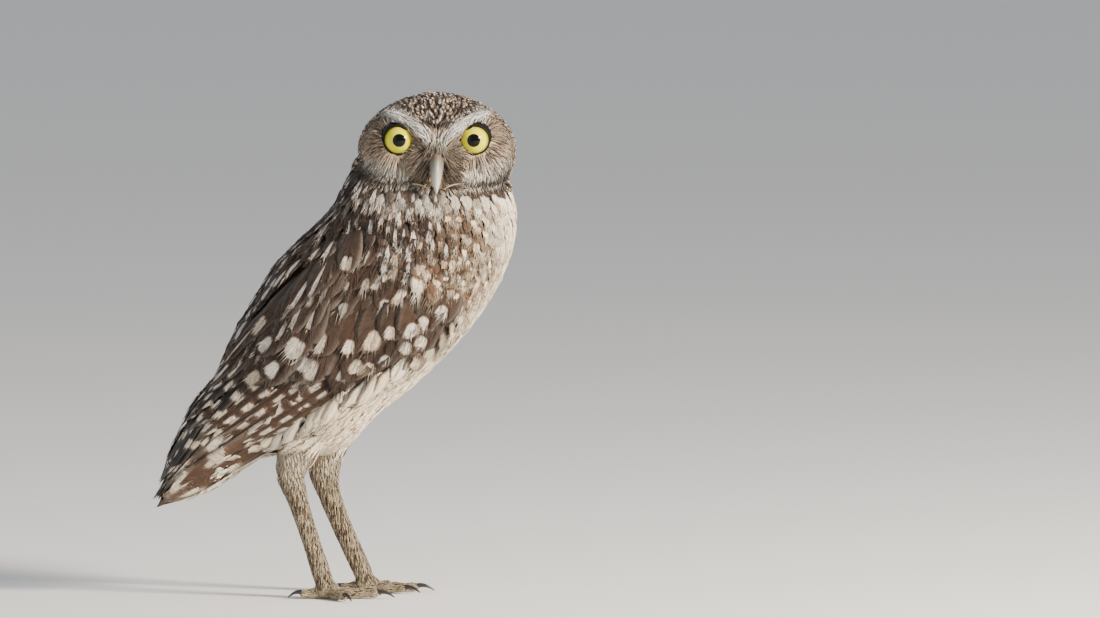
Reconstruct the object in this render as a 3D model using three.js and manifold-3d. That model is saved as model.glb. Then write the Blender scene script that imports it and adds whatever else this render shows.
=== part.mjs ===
// A burrowing owl, standing, life size, in millimetres, +Z up.
// +X is the way the body faces, +Y its left. The head is turned a quarter to the right: the face looks to -Y.
// The origin is on the floor, below the middle of the bird's bounding box.
import * as THREE from "three";
import { mergeVertices } from "three/addons/utils/BufferGeometryUtils.js";
import Module from "manifold-3d";

const wasm = await Module();
wasm.setup();

// Gap between neighbouring pieces, and how finely round pieces are cut.
const gap = 0.3;
const bodySides = 26;
const thighSides = 14;
const shankSides = 10;

// Sections of the feathered body, tail tip to nape: x and z of back and front, and half the width.
const sections = [
  { back: [-75.6, 40], front: [-71.1, 32.4], half: 12 },
  { back: [-74.2, 46.6], front: [-65.5, 34.5], half: 14 },
  { back: [-70, 58.5], front: [-53, 41.2], half: 16 },
  { back: [-64.2, 68.8], front: [-43, 48.2], half: 18.5 },
  { back: [-58.4, 79.7], front: [-27.5, 56], half: 22 },
  { back: [-50.4, 92.3], front: [-8.2, 56.2], half: 26.5 },
  { back: [-43.1, 106.6], front: [4.5, 61.5], half: 31.5 },
  { back: [-34.4, 121.8], front: [16, 74], half: 35.5 },
  { back: [-24.2, 137.4], front: [32.4, 87.3], half: 37.5 },
  { back: [-12.7, 149], front: [45.5, 99.6], half: 38 },
  { back: [-2.2, 159.6], front: [58.2, 114.4], half: 37 },
  { back: [2.1, 166.9], front: [68.5, 132], half: 33.5 },
  { back: [4.6, 172.5], front: [73.8, 150.5], half: 28.5 },
  { back: [6.6, 178.5], front: [72.6, 168], half: 22.5 },
  { back: [12, 186], front: [69, 182], half: 15 },
];
const squareness = { body: 2.3, neck: 2, from: 10.5, over: 2.5 };

// Where the trunk ends and is parted, as section numbers. Its top lies inside the head.
const trunkEnds = { undertail: 1.3, tailRoot: 4.6, neckBase: 11.7, top: 14 };
const trunkStep = 0.65;
const rumpInset = { deep: 6, from: 3.6, to: 7, end: 9 };

// Head: its centre, its half sizes, and the places of the face in the head's own frame.
const head = { centre: [41.4, 0, 184], halfWide: 32.6, front: 25, back: 27, up: 23.2, down: 20, detail: 7 };
const headRoundness = { crown: 1.85, chin: 3, face: 2.6, nape: 2 };
const eye = { lateral: 15.2, up: 4.5, globe: 8, globeForward: 14.4, iris: 5.75, corneaRise: 1.5 };
const lid = { opening: 5.85, length: 20, ring: 6.7, thick: 1.1, deep: 1.5, forward: 20.6, turn: 0.17,
  browCut: 4.5, browLean: 45 };
const brow = { inner: [2, 5.2], outer: [17, 13.8], height: 2, width: 3 };
const faceDish = { depth: 2.4, radius: 7.5 };
const rictus = { up: -6, height: 1.6, width: 6 };
const bill = { sides: 12, keel: 1.15 };
const billSpine = [
  { forward: 19, up: 0, half: 2.6, deep: 2 },
  { forward: 23, up: -1.3, half: 3.2, deep: 3.6 },
  { forward: 25.8, up: -4.8, half: 3, deep: 4 },
  { forward: 28.2, up: -8.8, half: 2.5, deep: 3.4 },
  { forward: 29.6, up: -12.4, half: 1.8, deep: 2.3 },
  { forward: 29.7, up: -15.2, half: 0.9, deep: 1.1 },
  { forward: 29.2, up: -16.9, half: 0.3, deep: 0.3 },
];
const lowerBill = [
  { forward: 17, up: -8.6, half: 2.3, deep: 1.5 },
  { forward: 21, up: -11, half: 2.2, deep: 1.4 },
  { forward: 24, up: -13.4, half: 1.6, deep: 1.1 },
  { forward: 25.6, up: -15, half: 0.5, deep: 0.4 },
];
const nostril = { lateral: 3, forward: 24.4, up: -2, radius: 0.8 };

// Wings lie on the body between an upper and a lower edge, given in degrees from the back for some sections.
// Places are section numbers. Behind its rear place a wing is only feathers; ahead of it a shell holds them.
const wing = { rear: 3.8, bend: 10.9, above: -2.5, upperDepth: 2.4, edgeUpperDepth: 0.9, bed: 5.4,
  edgeBed: 2.6, edgeWidth: 16, freeBed: 5, columns: 8 };
const sideFrom = 42;
const freePlaces = [-0.5, 0.4, 1.4, 2.4, 3];
const shellPlaces = [3.8, 4.4, 5, 5.7, 6.5, 7.4, 8.2, 9, 9.7, 10.4, 10.9];
const wingEdges = [
  { section: -0.5, upper: 58, lower: 128 },
  { section: 1.1, upper: 57, lower: 131 },
  { section: 2.4, upper: 52, lower: 136 },
  { section: 3, upper: 16, lower: 136 },
  { section: 3.8, upper: 3.5, lower: 132 },
  { section: 4.3, upper: 3.5, lower: 129 },
  { section: 5, upper: 3.5, lower: 119 },
  { section: 5.6, upper: 3.5, lower: 117 },
  { section: 7, upper: 8, lower: 131 },
  { section: 8, upper: 15, lower: 142 },
  { section: 9, upper: 21, lower: 147 },
  { section: 10, upper: 33, lower: 153 },
  { section: 10.5, upper: 46, lower: 142 },
  { section: 10.9, upper: 74, lower: 112 },
];

// Feather rows of a wing, seen from its side: x and z of the first and last root and tip, and a vane's sizes.
const wingRows = [
  { name: "primary", count: 7, strips: 2, roots: [[21, 98.5], [4, 103]], tips: [[-54, 48.3], [-68, 55]],
    peak: [-73.6, 33.5], peakRise: 6, width: 8.5, thick: 0.55, depth: [3.6, 1.5], tilt: 1.3, point: 0.45 },
  { name: "secondary", count: 6, strips: 1, roots: [[2, 98], [-34, 100]], tips: [[-20, 71], [-58, 67]],
    width: 11.5, thick: 0.6, depth: [3.4, 1.2], tilt: 1, point: 0.3 },
  { name: "tertial", count: 2, strips: 1, roots: [[-35, 106], [-41, 102]], tips: [[-58.5, 72], [-61.5, 76]],
    width: 9, thick: 0.6, depth: [3.2, 0.2], tilt: 0.4, point: 0.4 },
  { name: "greater_covert", count: 7, strips: 1, roots: [[36, 113], [-28, 114]], tips: [[26, 96], [-40, 92]],
    width: 13, thick: 0.6, depth: [3.4, 0.6], tilt: 0.5, point: 0.3 },
  { name: "median_covert", count: 6, strips: 1, roots: [[42, 128], [-16, 126]], tips: [[36, 113], [-29, 106]],
    width: 13, thick: 0.6, depth: [3.4, 0.3], tilt: 0.4, point: 0.3 },
  { name: "scapular", count: 4, strips: 1, roots: [[0, 145], [-28, 118]], tips: [[-9, 127], [-40, 100]],
    width: 12, thick: 0.6, depth: [3.4, 0.1], tilt: 0.3, point: 0.4 },
];
const vaneLengths = [0, 0.45, 0.85, 1];

// Tail of twelve feathers, spread a little, the middle pair uppermost.
const tail = { pairs: 6, root: 4.9, tip: 0, rootAngle: 7, tipAngle: 44, width: 10, thick: 0.6,
  rootDepth: 5.6, tipDepth: 0.3, layer: 0.85, shorter: 0.09 };

// Legs: the thigh runs from inside the belly to the heel, the shank on to the foot, as x, y, z and radius.
const legs = {
  right: {
    side: -1,
    thigh: [[-8, -14, 76, 10], [-15.5, -14.5, 62, 7.8], [-18.9, -14, 51, 5.6], [-17.8, -14, 47.8, 5]],
    shank: [[-18.9, -14, 51, 4.6], [-14.6, -13.8, 37.5, 4.1], [-9.6, -13.7, 22, 3.7], [-5.6, -13.5, 9.5, 4]],
    foot: [-3.5, -13.5, 3],
  },
  left: {
    side: 1,
    thigh: [[1, 13.5, 75, 10], [-4.2, 14.4, 60, 7.4], [-5.4, 14, 48, 5.9], [-4.4, 14, 44.8, 5.2]],
    shank: [[-5.4, 14, 48, 4.9], [-2.2, 13.8, 38, 4.5], [4, 13.7, 23, 4.1], [10, 13.5, 10, 4]],
    foot: [12.5, 13.5, 3],
  },
};
const footPad = { radius: 4.6, centre: 2.9 };
const toes = [
  { name: "inner", heading: -20, length: 17, claw: 8.5 },
  { name: "middle", heading: 4, length: 21, claw: 9 },
  { name: "outer", heading: 62, length: 16, claw: 8 },
  { name: "hind", heading: 172, length: 11, claw: 7.5 },
];
const toe = { radius: 2.3, centre: 1.75, knuckles: 2, swell: 0.12, sides: 6, steps: 5 };
const claw = { radius: 1.25, rise: 1.15, sunk: 1.6, curl: 0.95, segments: 4, sides: 5 };

// Colours of the plumage and the bare parts.
const colours = {
  brown: [0x6b5442, 0.9],
  wingBrown: [0x54402f, 0.85],
  flightBrown: [0x7a5a3e, 0.8],
  cream: [0xd9cdb8, 0.92],
  face: [0x8f7c68, 0.92],
  iris: [0xd8d840, 0.15],
  horn: [0xb9b3a0, 0.4],
  leg: [0xb8a98c, 0.85],
  clawBlack: [0x2b2622, 0.4],
};

function lerp(a, b, t) {
  return a + (b - a) * t;
}

function smooth(t) {
  const c = Math.min(1, Math.max(0, t));
  return c * c * (3 - 2 * c);
}

function radians(degrees) {
  return (degrees * Math.PI) / 180;
}

// A value that runs smoothly through a list of values, at a fractional place in the list.
function through(values, place) {
  const last = values.length - 1;
  if (place <= 0) return values[0] + (values[1] - values[0]) * place;
  if (place >= last) return values[last] + (values[last] - values[last - 1]) * (place - last);
  const i = Math.min(last - 1, Math.floor(place));
  const t = place - i;
  const p1 = values[i];
  const p2 = values[i + 1];
  const p0 = i > 0 ? values[i - 1] : 2 * p1 - p2;
  const p3 = i + 2 <= last ? values[i + 2] : 2 * p2 - p1;
  const bend = 2 * p0 - 5 * p1 + 4 * p2 - p3;
  const twist = 3 * p1 - p0 - 3 * p2 + p3;
  return 0.5 * (2 * p1 + (p2 - p0) * t + bend * t * t + twist * t ** 3);
}

// A value read between the rows of a list that is keyed by section number.
function between(rows, key, place) {
  let i = 0;
  while (i < rows.length - 2 && rows[i + 1].section < place) i += 1;
  const t = (place - rows[i].section) / (rows[i + 1].section - rows[i].section);
  return lerp(rows[i][key], rows[i + 1][key], smooth(t));
}

// A closed body from shared points and faces, turned so that its faces look out.
function closedBody(points, faces) {
  const volume = faces.reduce((sum, [a, b, c]) => {
    const [p, q, r] = [points[a], points[b], points[c]];
    return sum + p.dot(q.clone().cross(r));
  }, 0);
  const outward = volume > 0 ? faces : faces.map(([a, b, c]) => [a, c, b]);
  return new wasm.Manifold(new wasm.Mesh({
    numProp: 3,
    vertProperties: new Float32Array(points.flatMap((p) => [p.x, p.y, p.z])),
    triVerts: new Uint32Array(outward.flat()),
  }));
}

// The same from a three.js geometry, with its seams joined and its folded faces dropped.
function bodyOf(geometry) {
  const bare = geometry.clone();
  bare.deleteAttribute("normal");
  bare.deleteAttribute("uv");
  const joined = mergeVertices(bare, 1e-4);
  const place = joined.attributes.position;
  const points = Array.from({ length: place.count }, (_, i) => {
    return new THREE.Vector3().fromBufferAttribute(place, i);
  });
  const index = joined.index.array;
  const faces = [];
  for (let i = 0; i < index.length; i += 3) {
    const [a, b, c] = [index[i], index[i + 1], index[i + 2]];
    if (a !== b && b !== c && a !== c) faces.push([a, b, c]);
  }
  return closedBody(points, faces);
}

// A body through rings of equal count, closed at both ends by a fan.
function loft(rings) {
  const n = rings[0].length;
  const points = rings.flat();
  const faces = [];
  for (let k = 0; k < rings.length - 1; k += 1) {
    for (let i = 0; i < n; i += 1) {
      const a = k * n + i;
      const b = k * n + ((i + 1) % n);
      faces.push([a, b, b + n], [a, b + n, a + n]);
    }
  }
  [0, rings.length - 1].forEach((k) => {
    const middle = rings[k].reduce((sum, p) => sum.add(p), new THREE.Vector3()).divideScalar(n);
    points.push(middle);
    for (let i = 0; i < n; i += 1) {
      const a = k * n + i;
      const b = k * n + ((i + 1) % n);
      faces.push(k === 0 ? [b, a, points.length - 1] : [a, b, points.length - 1]);
    }
  });
  return closedBody(points, faces);
}

// A plate between an upper and a lower grid of points, both split into triangles alike.
function plate(rows, columns, pointAt) {
  const points = [];
  const faces = [];
  const at = (i, j, face) => (i * columns + j) * 2 + face;
  for (let i = 0; i < rows; i += 1) {
    for (let j = 0; j < columns; j += 1) {
      points.push(pointAt(i, j, 0), pointAt(i, j, 1));
    }
  }
  for (let i = 0; i < rows - 1; i += 1) {
    for (let j = 0; j < columns - 1; j += 1) {
      faces.push([at(i, j, 0), at(i + 1, j, 0), at(i + 1, j + 1, 0)]);
      faces.push([at(i, j, 0), at(i + 1, j + 1, 0), at(i, j + 1, 0)]);
      faces.push([at(i, j, 1), at(i + 1, j + 1, 1), at(i + 1, j, 1)]);
      faces.push([at(i, j, 1), at(i, j + 1, 1), at(i + 1, j + 1, 1)]);
    }
  }
  const rim = [];
  for (let i = 0; i < rows - 1; i += 1) rim.push([i, 0]);
  for (let j = 0; j < columns - 1; j += 1) rim.push([rows - 1, j]);
  for (let i = rows - 1; i > 0; i -= 1) rim.push([i, columns - 1]);
  for (let j = columns - 1; j > 0; j -= 1) rim.push([0, j]);
  rim.forEach(([i, j], k) => {
    const [u, v] = rim[(k + 1) % rim.length];
    faces.push([at(i, j, 0), at(i, j, 1), at(u, v, 1)], [at(i, j, 0), at(u, v, 1), at(u, v, 0)]);
  });
  return closedBody(points, faces);
}

// One body out of many.
function joined(bodies) {
  return bodies.slice(1).reduce((sum, body) => sum.add(body), bodies[0]);
}

// The largest closed surface of a body, without loose scraps.
function largest(body) {
  return body.decompose().sort((a, b) => b.volume() - a.volume())[0];
}

// A section of the feathered body. The power tells how square it is round.
function sectionAt(place) {
  const read = (pick) => through(sections.map(pick), place);
  return {
    back: [read((s) => s.back[0]), read((s) => s.back[1])],
    front: [read((s) => s.front[0]), read((s) => s.front[1])],
    half: read((s) => s.half),
    power: lerp(squareness.body, squareness.neck, smooth((place - squareness.from) / squareness.over)),
  };
}

// A point of the body's surface: section number and degrees from the back, positive to the left.
function surfacePoint(place, degrees, inset = 0) {
  const { back, front, half, power } = sectionAt(place);
  const angle = radians(degrees);
  const [c, s] = [Math.cos(angle), Math.sin(angle)];
  const reach = (Math.abs(c) ** power + Math.abs(s) ** power) ** (-1 / power);
  const span = Math.hypot(front[0] - back[0], front[1] - back[1]) / 2;
  const along = -c * reach * Math.max(0.1, 1 - inset / span);
  const out = s * reach * (half - Math.min(inset, half * 0.9));
  return new THREE.Vector3(
    (back[0] + front[0]) / 2 + (along * (front[0] - back[0])) / 2,
    out,
    (back[1] + front[1]) / 2 + (along * (front[1] - back[1])) / 2,
  );
}

function surfaceNormal(place, degrees) {
  const along = surfacePoint(place + 0.05, degrees).sub(surfacePoint(place - 0.05, degrees));
  const round = surfacePoint(place, degrees + 1).sub(surfacePoint(place, degrees - 1));
  return along.cross(round).normalize();
}

function onBody(place, degrees, depth) {
  return surfacePoint(place, degrees).addScaledVector(surfaceNormal(place, degrees), -depth);
}

// The section number and the degrees from the back of a point seen from the side.
function fromSide(x, z) {
  const miss = (place) => {
    const { back, front } = sectionAt(place);
    return (x - back[0]) * (front[1] - back[1]) - (z - back[1]) * (front[0] - back[0]);
  };
  let [low, high] = [-1, 13.5];
  for (let i = 0; i < 30; i += 1) {
    const middle = (low + high) / 2;
    if (miss(middle) * miss(low) > 0) low = middle;
    else high = middle;
  }
  const { back, front, power } = sectionAt(low);
  const [dx, dz] = [front[0] - back[0], front[1] - back[1]];
  const share = ((x - back[0]) * dx + (z - back[1]) * dz) / (dx * dx + dz * dz);
  const along = Math.min(0.985, Math.max(-0.985, 2 * share - 1));
  const out = (1 - Math.abs(along) ** power) ** (1 / power);
  return { place: low, degrees: (Math.atan2(out, -along) * 180) / Math.PI };
}

// Trunk in one piece, slimmer towards the rump, where the wings and the tail cover it.
function trunk() {
  const rings = [];
  const { undertail, top } = trunkEnds;
  const steps = Math.round((top - undertail) / trunkStep);
  for (let k = 0; k <= steps; k += 1) {
    const place = lerp(undertail, top, k / steps);
    const covered = 1 - smooth((place - rumpInset.from) / (rumpInset.to - rumpInset.from));
    const pointed = Math.max(0, (rumpInset.from - place) / (rumpInset.from - undertail)) ** 2;
    const inset = rumpInset.deep * covered + rumpInset.end * pointed;
    const turn = 360 / bodySides;
    rings.push(Array.from({ length: bodySides }, (_, i) => surfacePoint(place, i * turn, inset)));
  }
  return loft(rings);
}

// Keeps what lies ahead of a section's plane, towards the head, or behind it, half a gap away.
function partedAt(body, place, ahead) {
  const { back, front } = sectionAt(place);
  const normal = new THREE.Vector3(-(front[1] - back[1]), 0, front[0] - back[0]).normalize();
  const level = normal.x * back[0] + normal.z * back[1];
  const way = ahead ? 1 : -1;
  return body.trimByPlane([normal.x * way, 0, normal.z * way], level * way + gap / 2);
}

// How deep a layer of the wing is below the body's surface: shallow along the wing's edges.
function layerDepth(place, degrees, edge, middle) {
  const inside = Math.min(
    (place - wing.rear) / 1.4,
    (wing.bend - place) / 0.8,
    (degrees - between(wingEdges, "upper", place)) / wing.edgeWidth,
    (between(wingEdges, "lower", place) - degrees) / wing.edgeWidth,
  );
  return lerp(edge, middle, smooth(inside));
}

// Depth of the wing's bed: behind the wing's shell it is deep only under the long feathers at the side.
function bedDepth(place, degrees) {
  const atSide = smooth((degrees - sideFrom) / wing.edgeWidth);
  const free = lerp(wing.edgeBed, wing.freeBed, atSide) * (1 - smooth(place - wing.rear));
  return Math.max(free, layerDepth(place, degrees, wing.edgeBed, wing.bed));
}

function wingPatch(side, places, top, bottom, margin) {
  const columns = wing.columns;
  return plate(places.length, columns, (i, j, face) => {
    const place = places[i] + (i === places.length - 1 ? margin * 0.08 : 0);
    const spread = (margin / sectionAt(place).half) * (180 / Math.PI);
    const low = between(wingEdges, "upper", place) - spread;
    const high = between(wingEdges, "lower", place) + spread;
    const degrees = lerp(low, high, j / (columns - 1));
    return onBody(place, side * degrees, face ? bottom(place, degrees) : top(place, degrees));
  });
}

// The space that a wing takes on the body, used to cut its bed.
function wingSpace(side) {
  return wingPatch(side, [...freePlaces, ...shellPlaces], () => wing.above,
    (place, degrees) => bedDepth(place, degrees) + gap, gap);
}

function wingShell(side) {
  return wingPatch(side, shellPlaces,
    (place, degrees) => layerDepth(place, degrees, wing.edgeUpperDepth, wing.upperDepth),
    (place, degrees) => bedDepth(place, degrees), 0);
}

// What of that space its feathers may fill.
function featherSpace(side) {
  return wingPatch(side, [...freePlaces, ...shellPlaces], () => wing.above,
    (place, degrees) => bedDepth(place, degrees) - gap, -gap / 2);
}

// A feather laid on the body's side from root to tip, both seen from the side, with one edge a little raised.
function vane(side, shape) {
  const lengths = vaneLengths;
  const last = lengths.length - 1;
  const centres = lengths.map((t) => {
    const seen = fromSide(lerp(shape.root[0], shape.tip[0], t), lerp(shape.root[1], shape.tip[1], t));
    const depth = lerp(shape.depth[0], shape.depth[1], smooth(t * 1.25));
    const degrees = side * seen.degrees;
    return { normal: surfaceNormal(seen.place, degrees), at: onBody(seen.place, degrees, depth) };
  });
  return plate(lengths.length, shape.strips + 1, (i, j, face) => {
    const t = lengths[i];
    const { at, normal } = centres[i];
    const along = centres[Math.min(i + 1, last)].at.clone().sub(centres[Math.max(i - 1, 0)].at).normalize();
    const across = along.clone().cross(normal).normalize().multiplyScalar(side);
    const taper = t < 0.6 ? lerp(0.7, 1, t / 0.6) : lerp(1, shape.point, smooth((t - 0.6) / 0.4) ** 1.6);
    const k = (2 * j) / shape.strips - 1;
    const half = (shape.width / 2) * taper * (t === 1 ? 0.35 : 1);
    const droop = (k * k * half * half) / 60;
    const thick = shape.thick * lerp(1, 0.75, t);
    return at.clone().addScaledVector(across, k * half)
      .addScaledVector(normal, k * shape.tilt * taper - droop - face * thick);
  });
}

function wingFeathers(side) {
  return wingRows.flatMap((row) => Array.from({ length: row.count }, (_, i) => {
    const t = i / (row.count - 1);
    const mix = (pair) => [lerp(pair[0][0], pair[1][0], t), lerp(pair[0][1], pair[1][1], t)];
    const tip = mix(row.tips);
    if (row.peak) {
      const pull = 4 * t * (1 - t);
      tip[0] = lerp(tip[0], row.peak[0], Math.min(1, pull * 1.1));
      tip[1] = lerp(tip[1], row.peak[1] + row.peakRise * t, Math.min(1, pull * 1.1));
    }
    return vane(side, { ...row, root: mix(row.roots), tip });
  }));
}

function wingBody(side) {
  const feathers = joined(wingFeathers(side)).intersect(featherSpace(side));
  return joined([wingShell(side), feathers]);
}

// Tail feathers lie in the same surface as the body's back, each pair under the one inside it.
function tailFeather(side, pair) {
  const t = pair / (tail.pairs - 1);
  const lengths = [0, 0.4, 0.85, 1];
  return plate(lengths.length, 2, (i, j, face) => {
    const along = lengths[i];
    const tip = tail.tip + tail.shorter * pair;
    const place = lerp(tail.root, tip, along);
    const angle = lerp(tail.rootAngle, tail.tipAngle, smooth(along)) * (0.12 + 0.88 * t);
    const half = (tail.width / 2) * lerp(0.6, 1, smooth(along * 2)) * (along === 1 ? 0.45 : 1);
    const spread = ((2 * j - 1) * half * 180) / (Math.PI * sectionAt(place).half);
    const depth = lerp(tail.tipDepth, tail.rootDepth, (1 - along) ** 2.4) + tail.layer * pair;
    return onBody(place, side * (angle + spread), depth + face * tail.thick);
  });
}

function tailBody(core) {
  const feathers = [];
  for (let pair = 0; pair < tail.pairs; pair += 1) {
    feathers.push(tailFeather(-1, pair), tailFeather(1, pair));
  }
  return joined([core, ...feathers]);
}

// The head's own frame: lateral is +X, forward is -Y, up is +Z, about the head's centre.
function fromHead(lateral, forward, up) {
  return new THREE.Vector3(head.centre[0] + lateral, head.centre[1] - forward, head.centre[2] + up);
}

function nearLine(x, z, a, b) {
  const [dx, dz] = [b[0] - a[0], b[1] - a[1]];
  const t = Math.min(1, Math.max(0, ((x - a[0]) * dx + (z - a[1]) * dz) / (dx * dx + dz * dz)));
  return Math.hypot(x - a[0] - t * dx, z - a[1] - t * dz);
}

function hump(distance, width) {
  return Math.exp(-((distance / width) ** 2));
}

// How far the face stands out of the plain head at a place seen from the front.
function faceRelief(lateral, up) {
  const x = Math.abs(lateral);
  const dish = -faceDish.depth * hump(Math.hypot(x - eye.lateral, up - eye.up), faceDish.radius);
  const ridge = brow.height * hump(nearLine(x, up, brow.inner, brow.outer), brow.width);
  const bristles = rictus.height * hump(Math.hypot(x, up - rictus.up), rictus.width);
  return dish + ridge + bristles;
}

function headBody(grow) {
  const geometry = new THREE.IcosahedronGeometry(1, head.detail);
  const place = geometry.attributes.position;
  for (let i = 0; i < place.count; i += 1) {
    const unit = new THREE.Vector3().fromBufferAttribute(place, i).normalize();
    const off = Math.acos(Math.min(1, Math.max(-1, -unit.y)));
    const drawn = Math.PI * (off / Math.PI) ** 1.3;
    const flat = Math.hypot(unit.x, unit.z) || 1;
    const [x, f, z] = [(unit.x / flat) * Math.sin(drawn), Math.cos(drawn), (unit.z / flat) * Math.sin(drawn)];
    const deep = f > 0 ? head.front : head.back;
    const high = z > 0 ? head.up : head.down;
    const level = lerp(headRoundness.nape, headRoundness.face, smooth(f * 2));
    const upright = lerp(headRoundness.crown, headRoundness.chin, smooth(-2.2 * z));
    const girth = (Math.abs(x / head.halfWide) ** level + Math.abs(f / deep) ** level) ** (upright / level);
    const reach = (girth + Math.abs(z / high) ** upright) ** (-1 / upright);
    const relief = faceRelief(x * reach, z * reach) * smooth(f * 2);
    const r = reach + relief + grow;
    place.setXYZ(i, ...fromHead(x * r, f * r, z * r));
  }
  return bodyOf(geometry);
}

// Globe of the eye with its clear dome, turned on the forward axis.
function eyeBody(side, grow) {
  const profile = [];
  const globe = eye.globe + grow;
  const rimAngle = Math.asin(eye.iris / eye.globe);
  for (let k = 0; k <= 6; k += 1) {
    const angle = lerp(Math.PI, rimAngle, k / 6);
    profile.push(new THREE.Vector2(globe * Math.sin(angle), globe * Math.cos(angle)));
  }
  const rim = profile[profile.length - 1];
  for (let k = 1; k <= 3; k += 1) {
    const turn = (Math.PI / 2) * (k / 3);
    const height = (globe - rim.y + eye.corneaRise) * Math.sin(turn);
    profile.push(new THREE.Vector2(rim.x * Math.cos(turn), rim.y + height));
  }
  profile[0].x = 0;
  profile[profile.length - 1].x = 0;
  const geometry = new THREE.LatheGeometry(profile, 18);
  geometry.rotateX(-Math.PI / 2);
  const middle = fromHead(side * eye.lateral, eye.globeForward, eye.up);
  geometry.translate(middle.x, middle.y, middle.z);
  return bodyOf(geometry);
}

// Rim of both lids round the eye, leaning back a little at its outer side.
function lidRing(side) {
  const geometry = new THREE.TorusGeometry(lid.ring, lid.thick, 6, 20);
  const place = geometry.attributes.position;
  for (let i = 0; i < place.count; i += 1) {
    const [x, z, f] = [place.getX(i), place.getY(i), place.getZ(i)];
    const forward = lid.forward + f * lid.deep - lid.turn * x * side;
    const spot = fromHead(side * eye.lateral + x, forward, eye.up + z);
    place.setXYZ(i, ...spot);
  }
  return bodyOf(geometry);
}

// The opening between the lids, cut off at its upper inner side by the slanting brow.
function lidOpening(side) {
  const geometry = new THREE.CylinderGeometry(lid.opening, lid.opening, lid.length, 20);
  const middle = fromHead(side * eye.lateral, eye.globeForward + lid.length * 0.65, eye.up);
  geometry.translate(middle.x, middle.y, middle.z);
  const lean = radians(lid.browLean);
  const brow = new THREE.Vector3(side * Math.sin(lean), 0, -Math.cos(lean));
  return bodyOf(geometry).trimByPlane(brow.toArray(), brow.dot(middle) - lid.browCut);
}

// A curved horn through spine points that hold forward, up, half width and half depth.
function hornAlong(spine, grow, keel) {
  const rings = spine.map((spot, k) => {
    const before = spine[Math.max(0, k - 1)];
    const after = spine[Math.min(spine.length - 1, k + 1)];
    const along = new THREE.Vector2(after.forward - before.forward, after.up - before.up).normalize();
    return Array.from({ length: bill.sides }, (_, i) => {
      const turn = (2 * Math.PI * i) / bill.sides;
      const lateral = (spot.half + grow) * Math.cos(turn);
      const deep = (spot.deep + grow) * Math.sin(turn) * (Math.sin(turn) > 0 ? keel : 1);
      return fromHead(lateral, spot.forward - along.y * deep, spot.up + along.x * deep);
    });
  });
  return loft(rings);
}

function bills(grow) {
  return [hornAlong(billSpine, grow, bill.keel), hornAlong(lowerBill, grow, 1)];
}

function billUpper() {
  const holes = [-1, 1].map((side) => {
    const hole = new THREE.IcosahedronGeometry(nostril.radius, 1);
    const spot = fromHead(side * nostril.lateral, nostril.forward, nostril.up);
    hole.translate(spot.x, spot.y, spot.z);
    return bodyOf(hole);
  });
  const [, lower] = bills(gap);
  return bills(0)[0].subtract(joined([...holes, lower]));
}

// A round limb through places that hold x, y, z and radius.
function limb(spots, grow, sides) {
  const centre = (k) => new THREE.Vector3(spots[k][0], spots[k][1], spots[k][2]);
  const rings = spots.map((spot, k) => {
    const along = centre(Math.min(spots.length - 1, k + 1)).sub(centre(Math.max(0, k - 1))).normalize();
    const across = new THREE.Vector3(0, 1, 0);
    const up = across.clone().cross(along).normalize();
    return Array.from({ length: sides }, (_, i) => {
      const turn = (2 * Math.PI * i) / sides;
      const [c, s] = [Math.cos(turn), Math.sin(turn)].map((part) => part * (spot[3] + grow));
      return centre(k).addScaledVector(across, c).addScaledVector(up, s);
    });
  });
  return loft(rings);
}

// Spots along a smooth line through a few given ones.
function smoothSpots(spots, steps) {
  return Array.from({ length: steps + 1 }, (_, k) => {
    const place = ((spots.length - 1) * k) / steps;
    return [0, 1, 2, 3].map((axis) => through(spots.map((spot) => spot[axis]), place));
  });
}

function thighBody(leg, grow) {
  return limb(smoothSpots(leg.thigh, 6), grow, thighSides);
}

function shankBody(leg, grow) {
  return limb(smoothSpots([...leg.shank, [...leg.foot, toe.radius + 1]], 8), grow, shankSides);
}

function toePoint(leg, digit, distance) {
  const heading = radians(digit.heading) * leg.side;
  return [leg.foot[0] + distance * Math.cos(heading), leg.foot[1] + distance * Math.sin(heading)];
}

// A toe lies flat on the floor, with low knuckles.
function toeBody(leg, digit) {
  const spots = Array.from({ length: toe.steps + 1 }, (_, k) => {
    const t = k / toe.steps;
    const swell = 1 + toe.swell * Math.cos(2 * Math.PI * toe.knuckles * t);
    const end = k === toe.steps ? 0.6 : 1;
    const radius = toe.radius * lerp(1.1, 0.85, t) * swell * end;
    return [...toePoint(leg, digit, digit.length * t), toe.centre, radius];
  });
  const heading = radians(digit.heading) * leg.side;
  const across = new THREE.Vector3(-Math.sin(heading), Math.cos(heading), 0);
  const rings = spots.map(([x, y, z, radius]) => Array.from({ length: toe.sides }, (_, i) => {
    const turn = (2 * Math.PI * i) / toe.sides;
    const spot = new THREE.Vector3(x, y, z + radius * Math.sin(turn));
    return spot.addScaledVector(across, radius * Math.cos(turn));
  }));
  return loft(rings);
}

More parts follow.
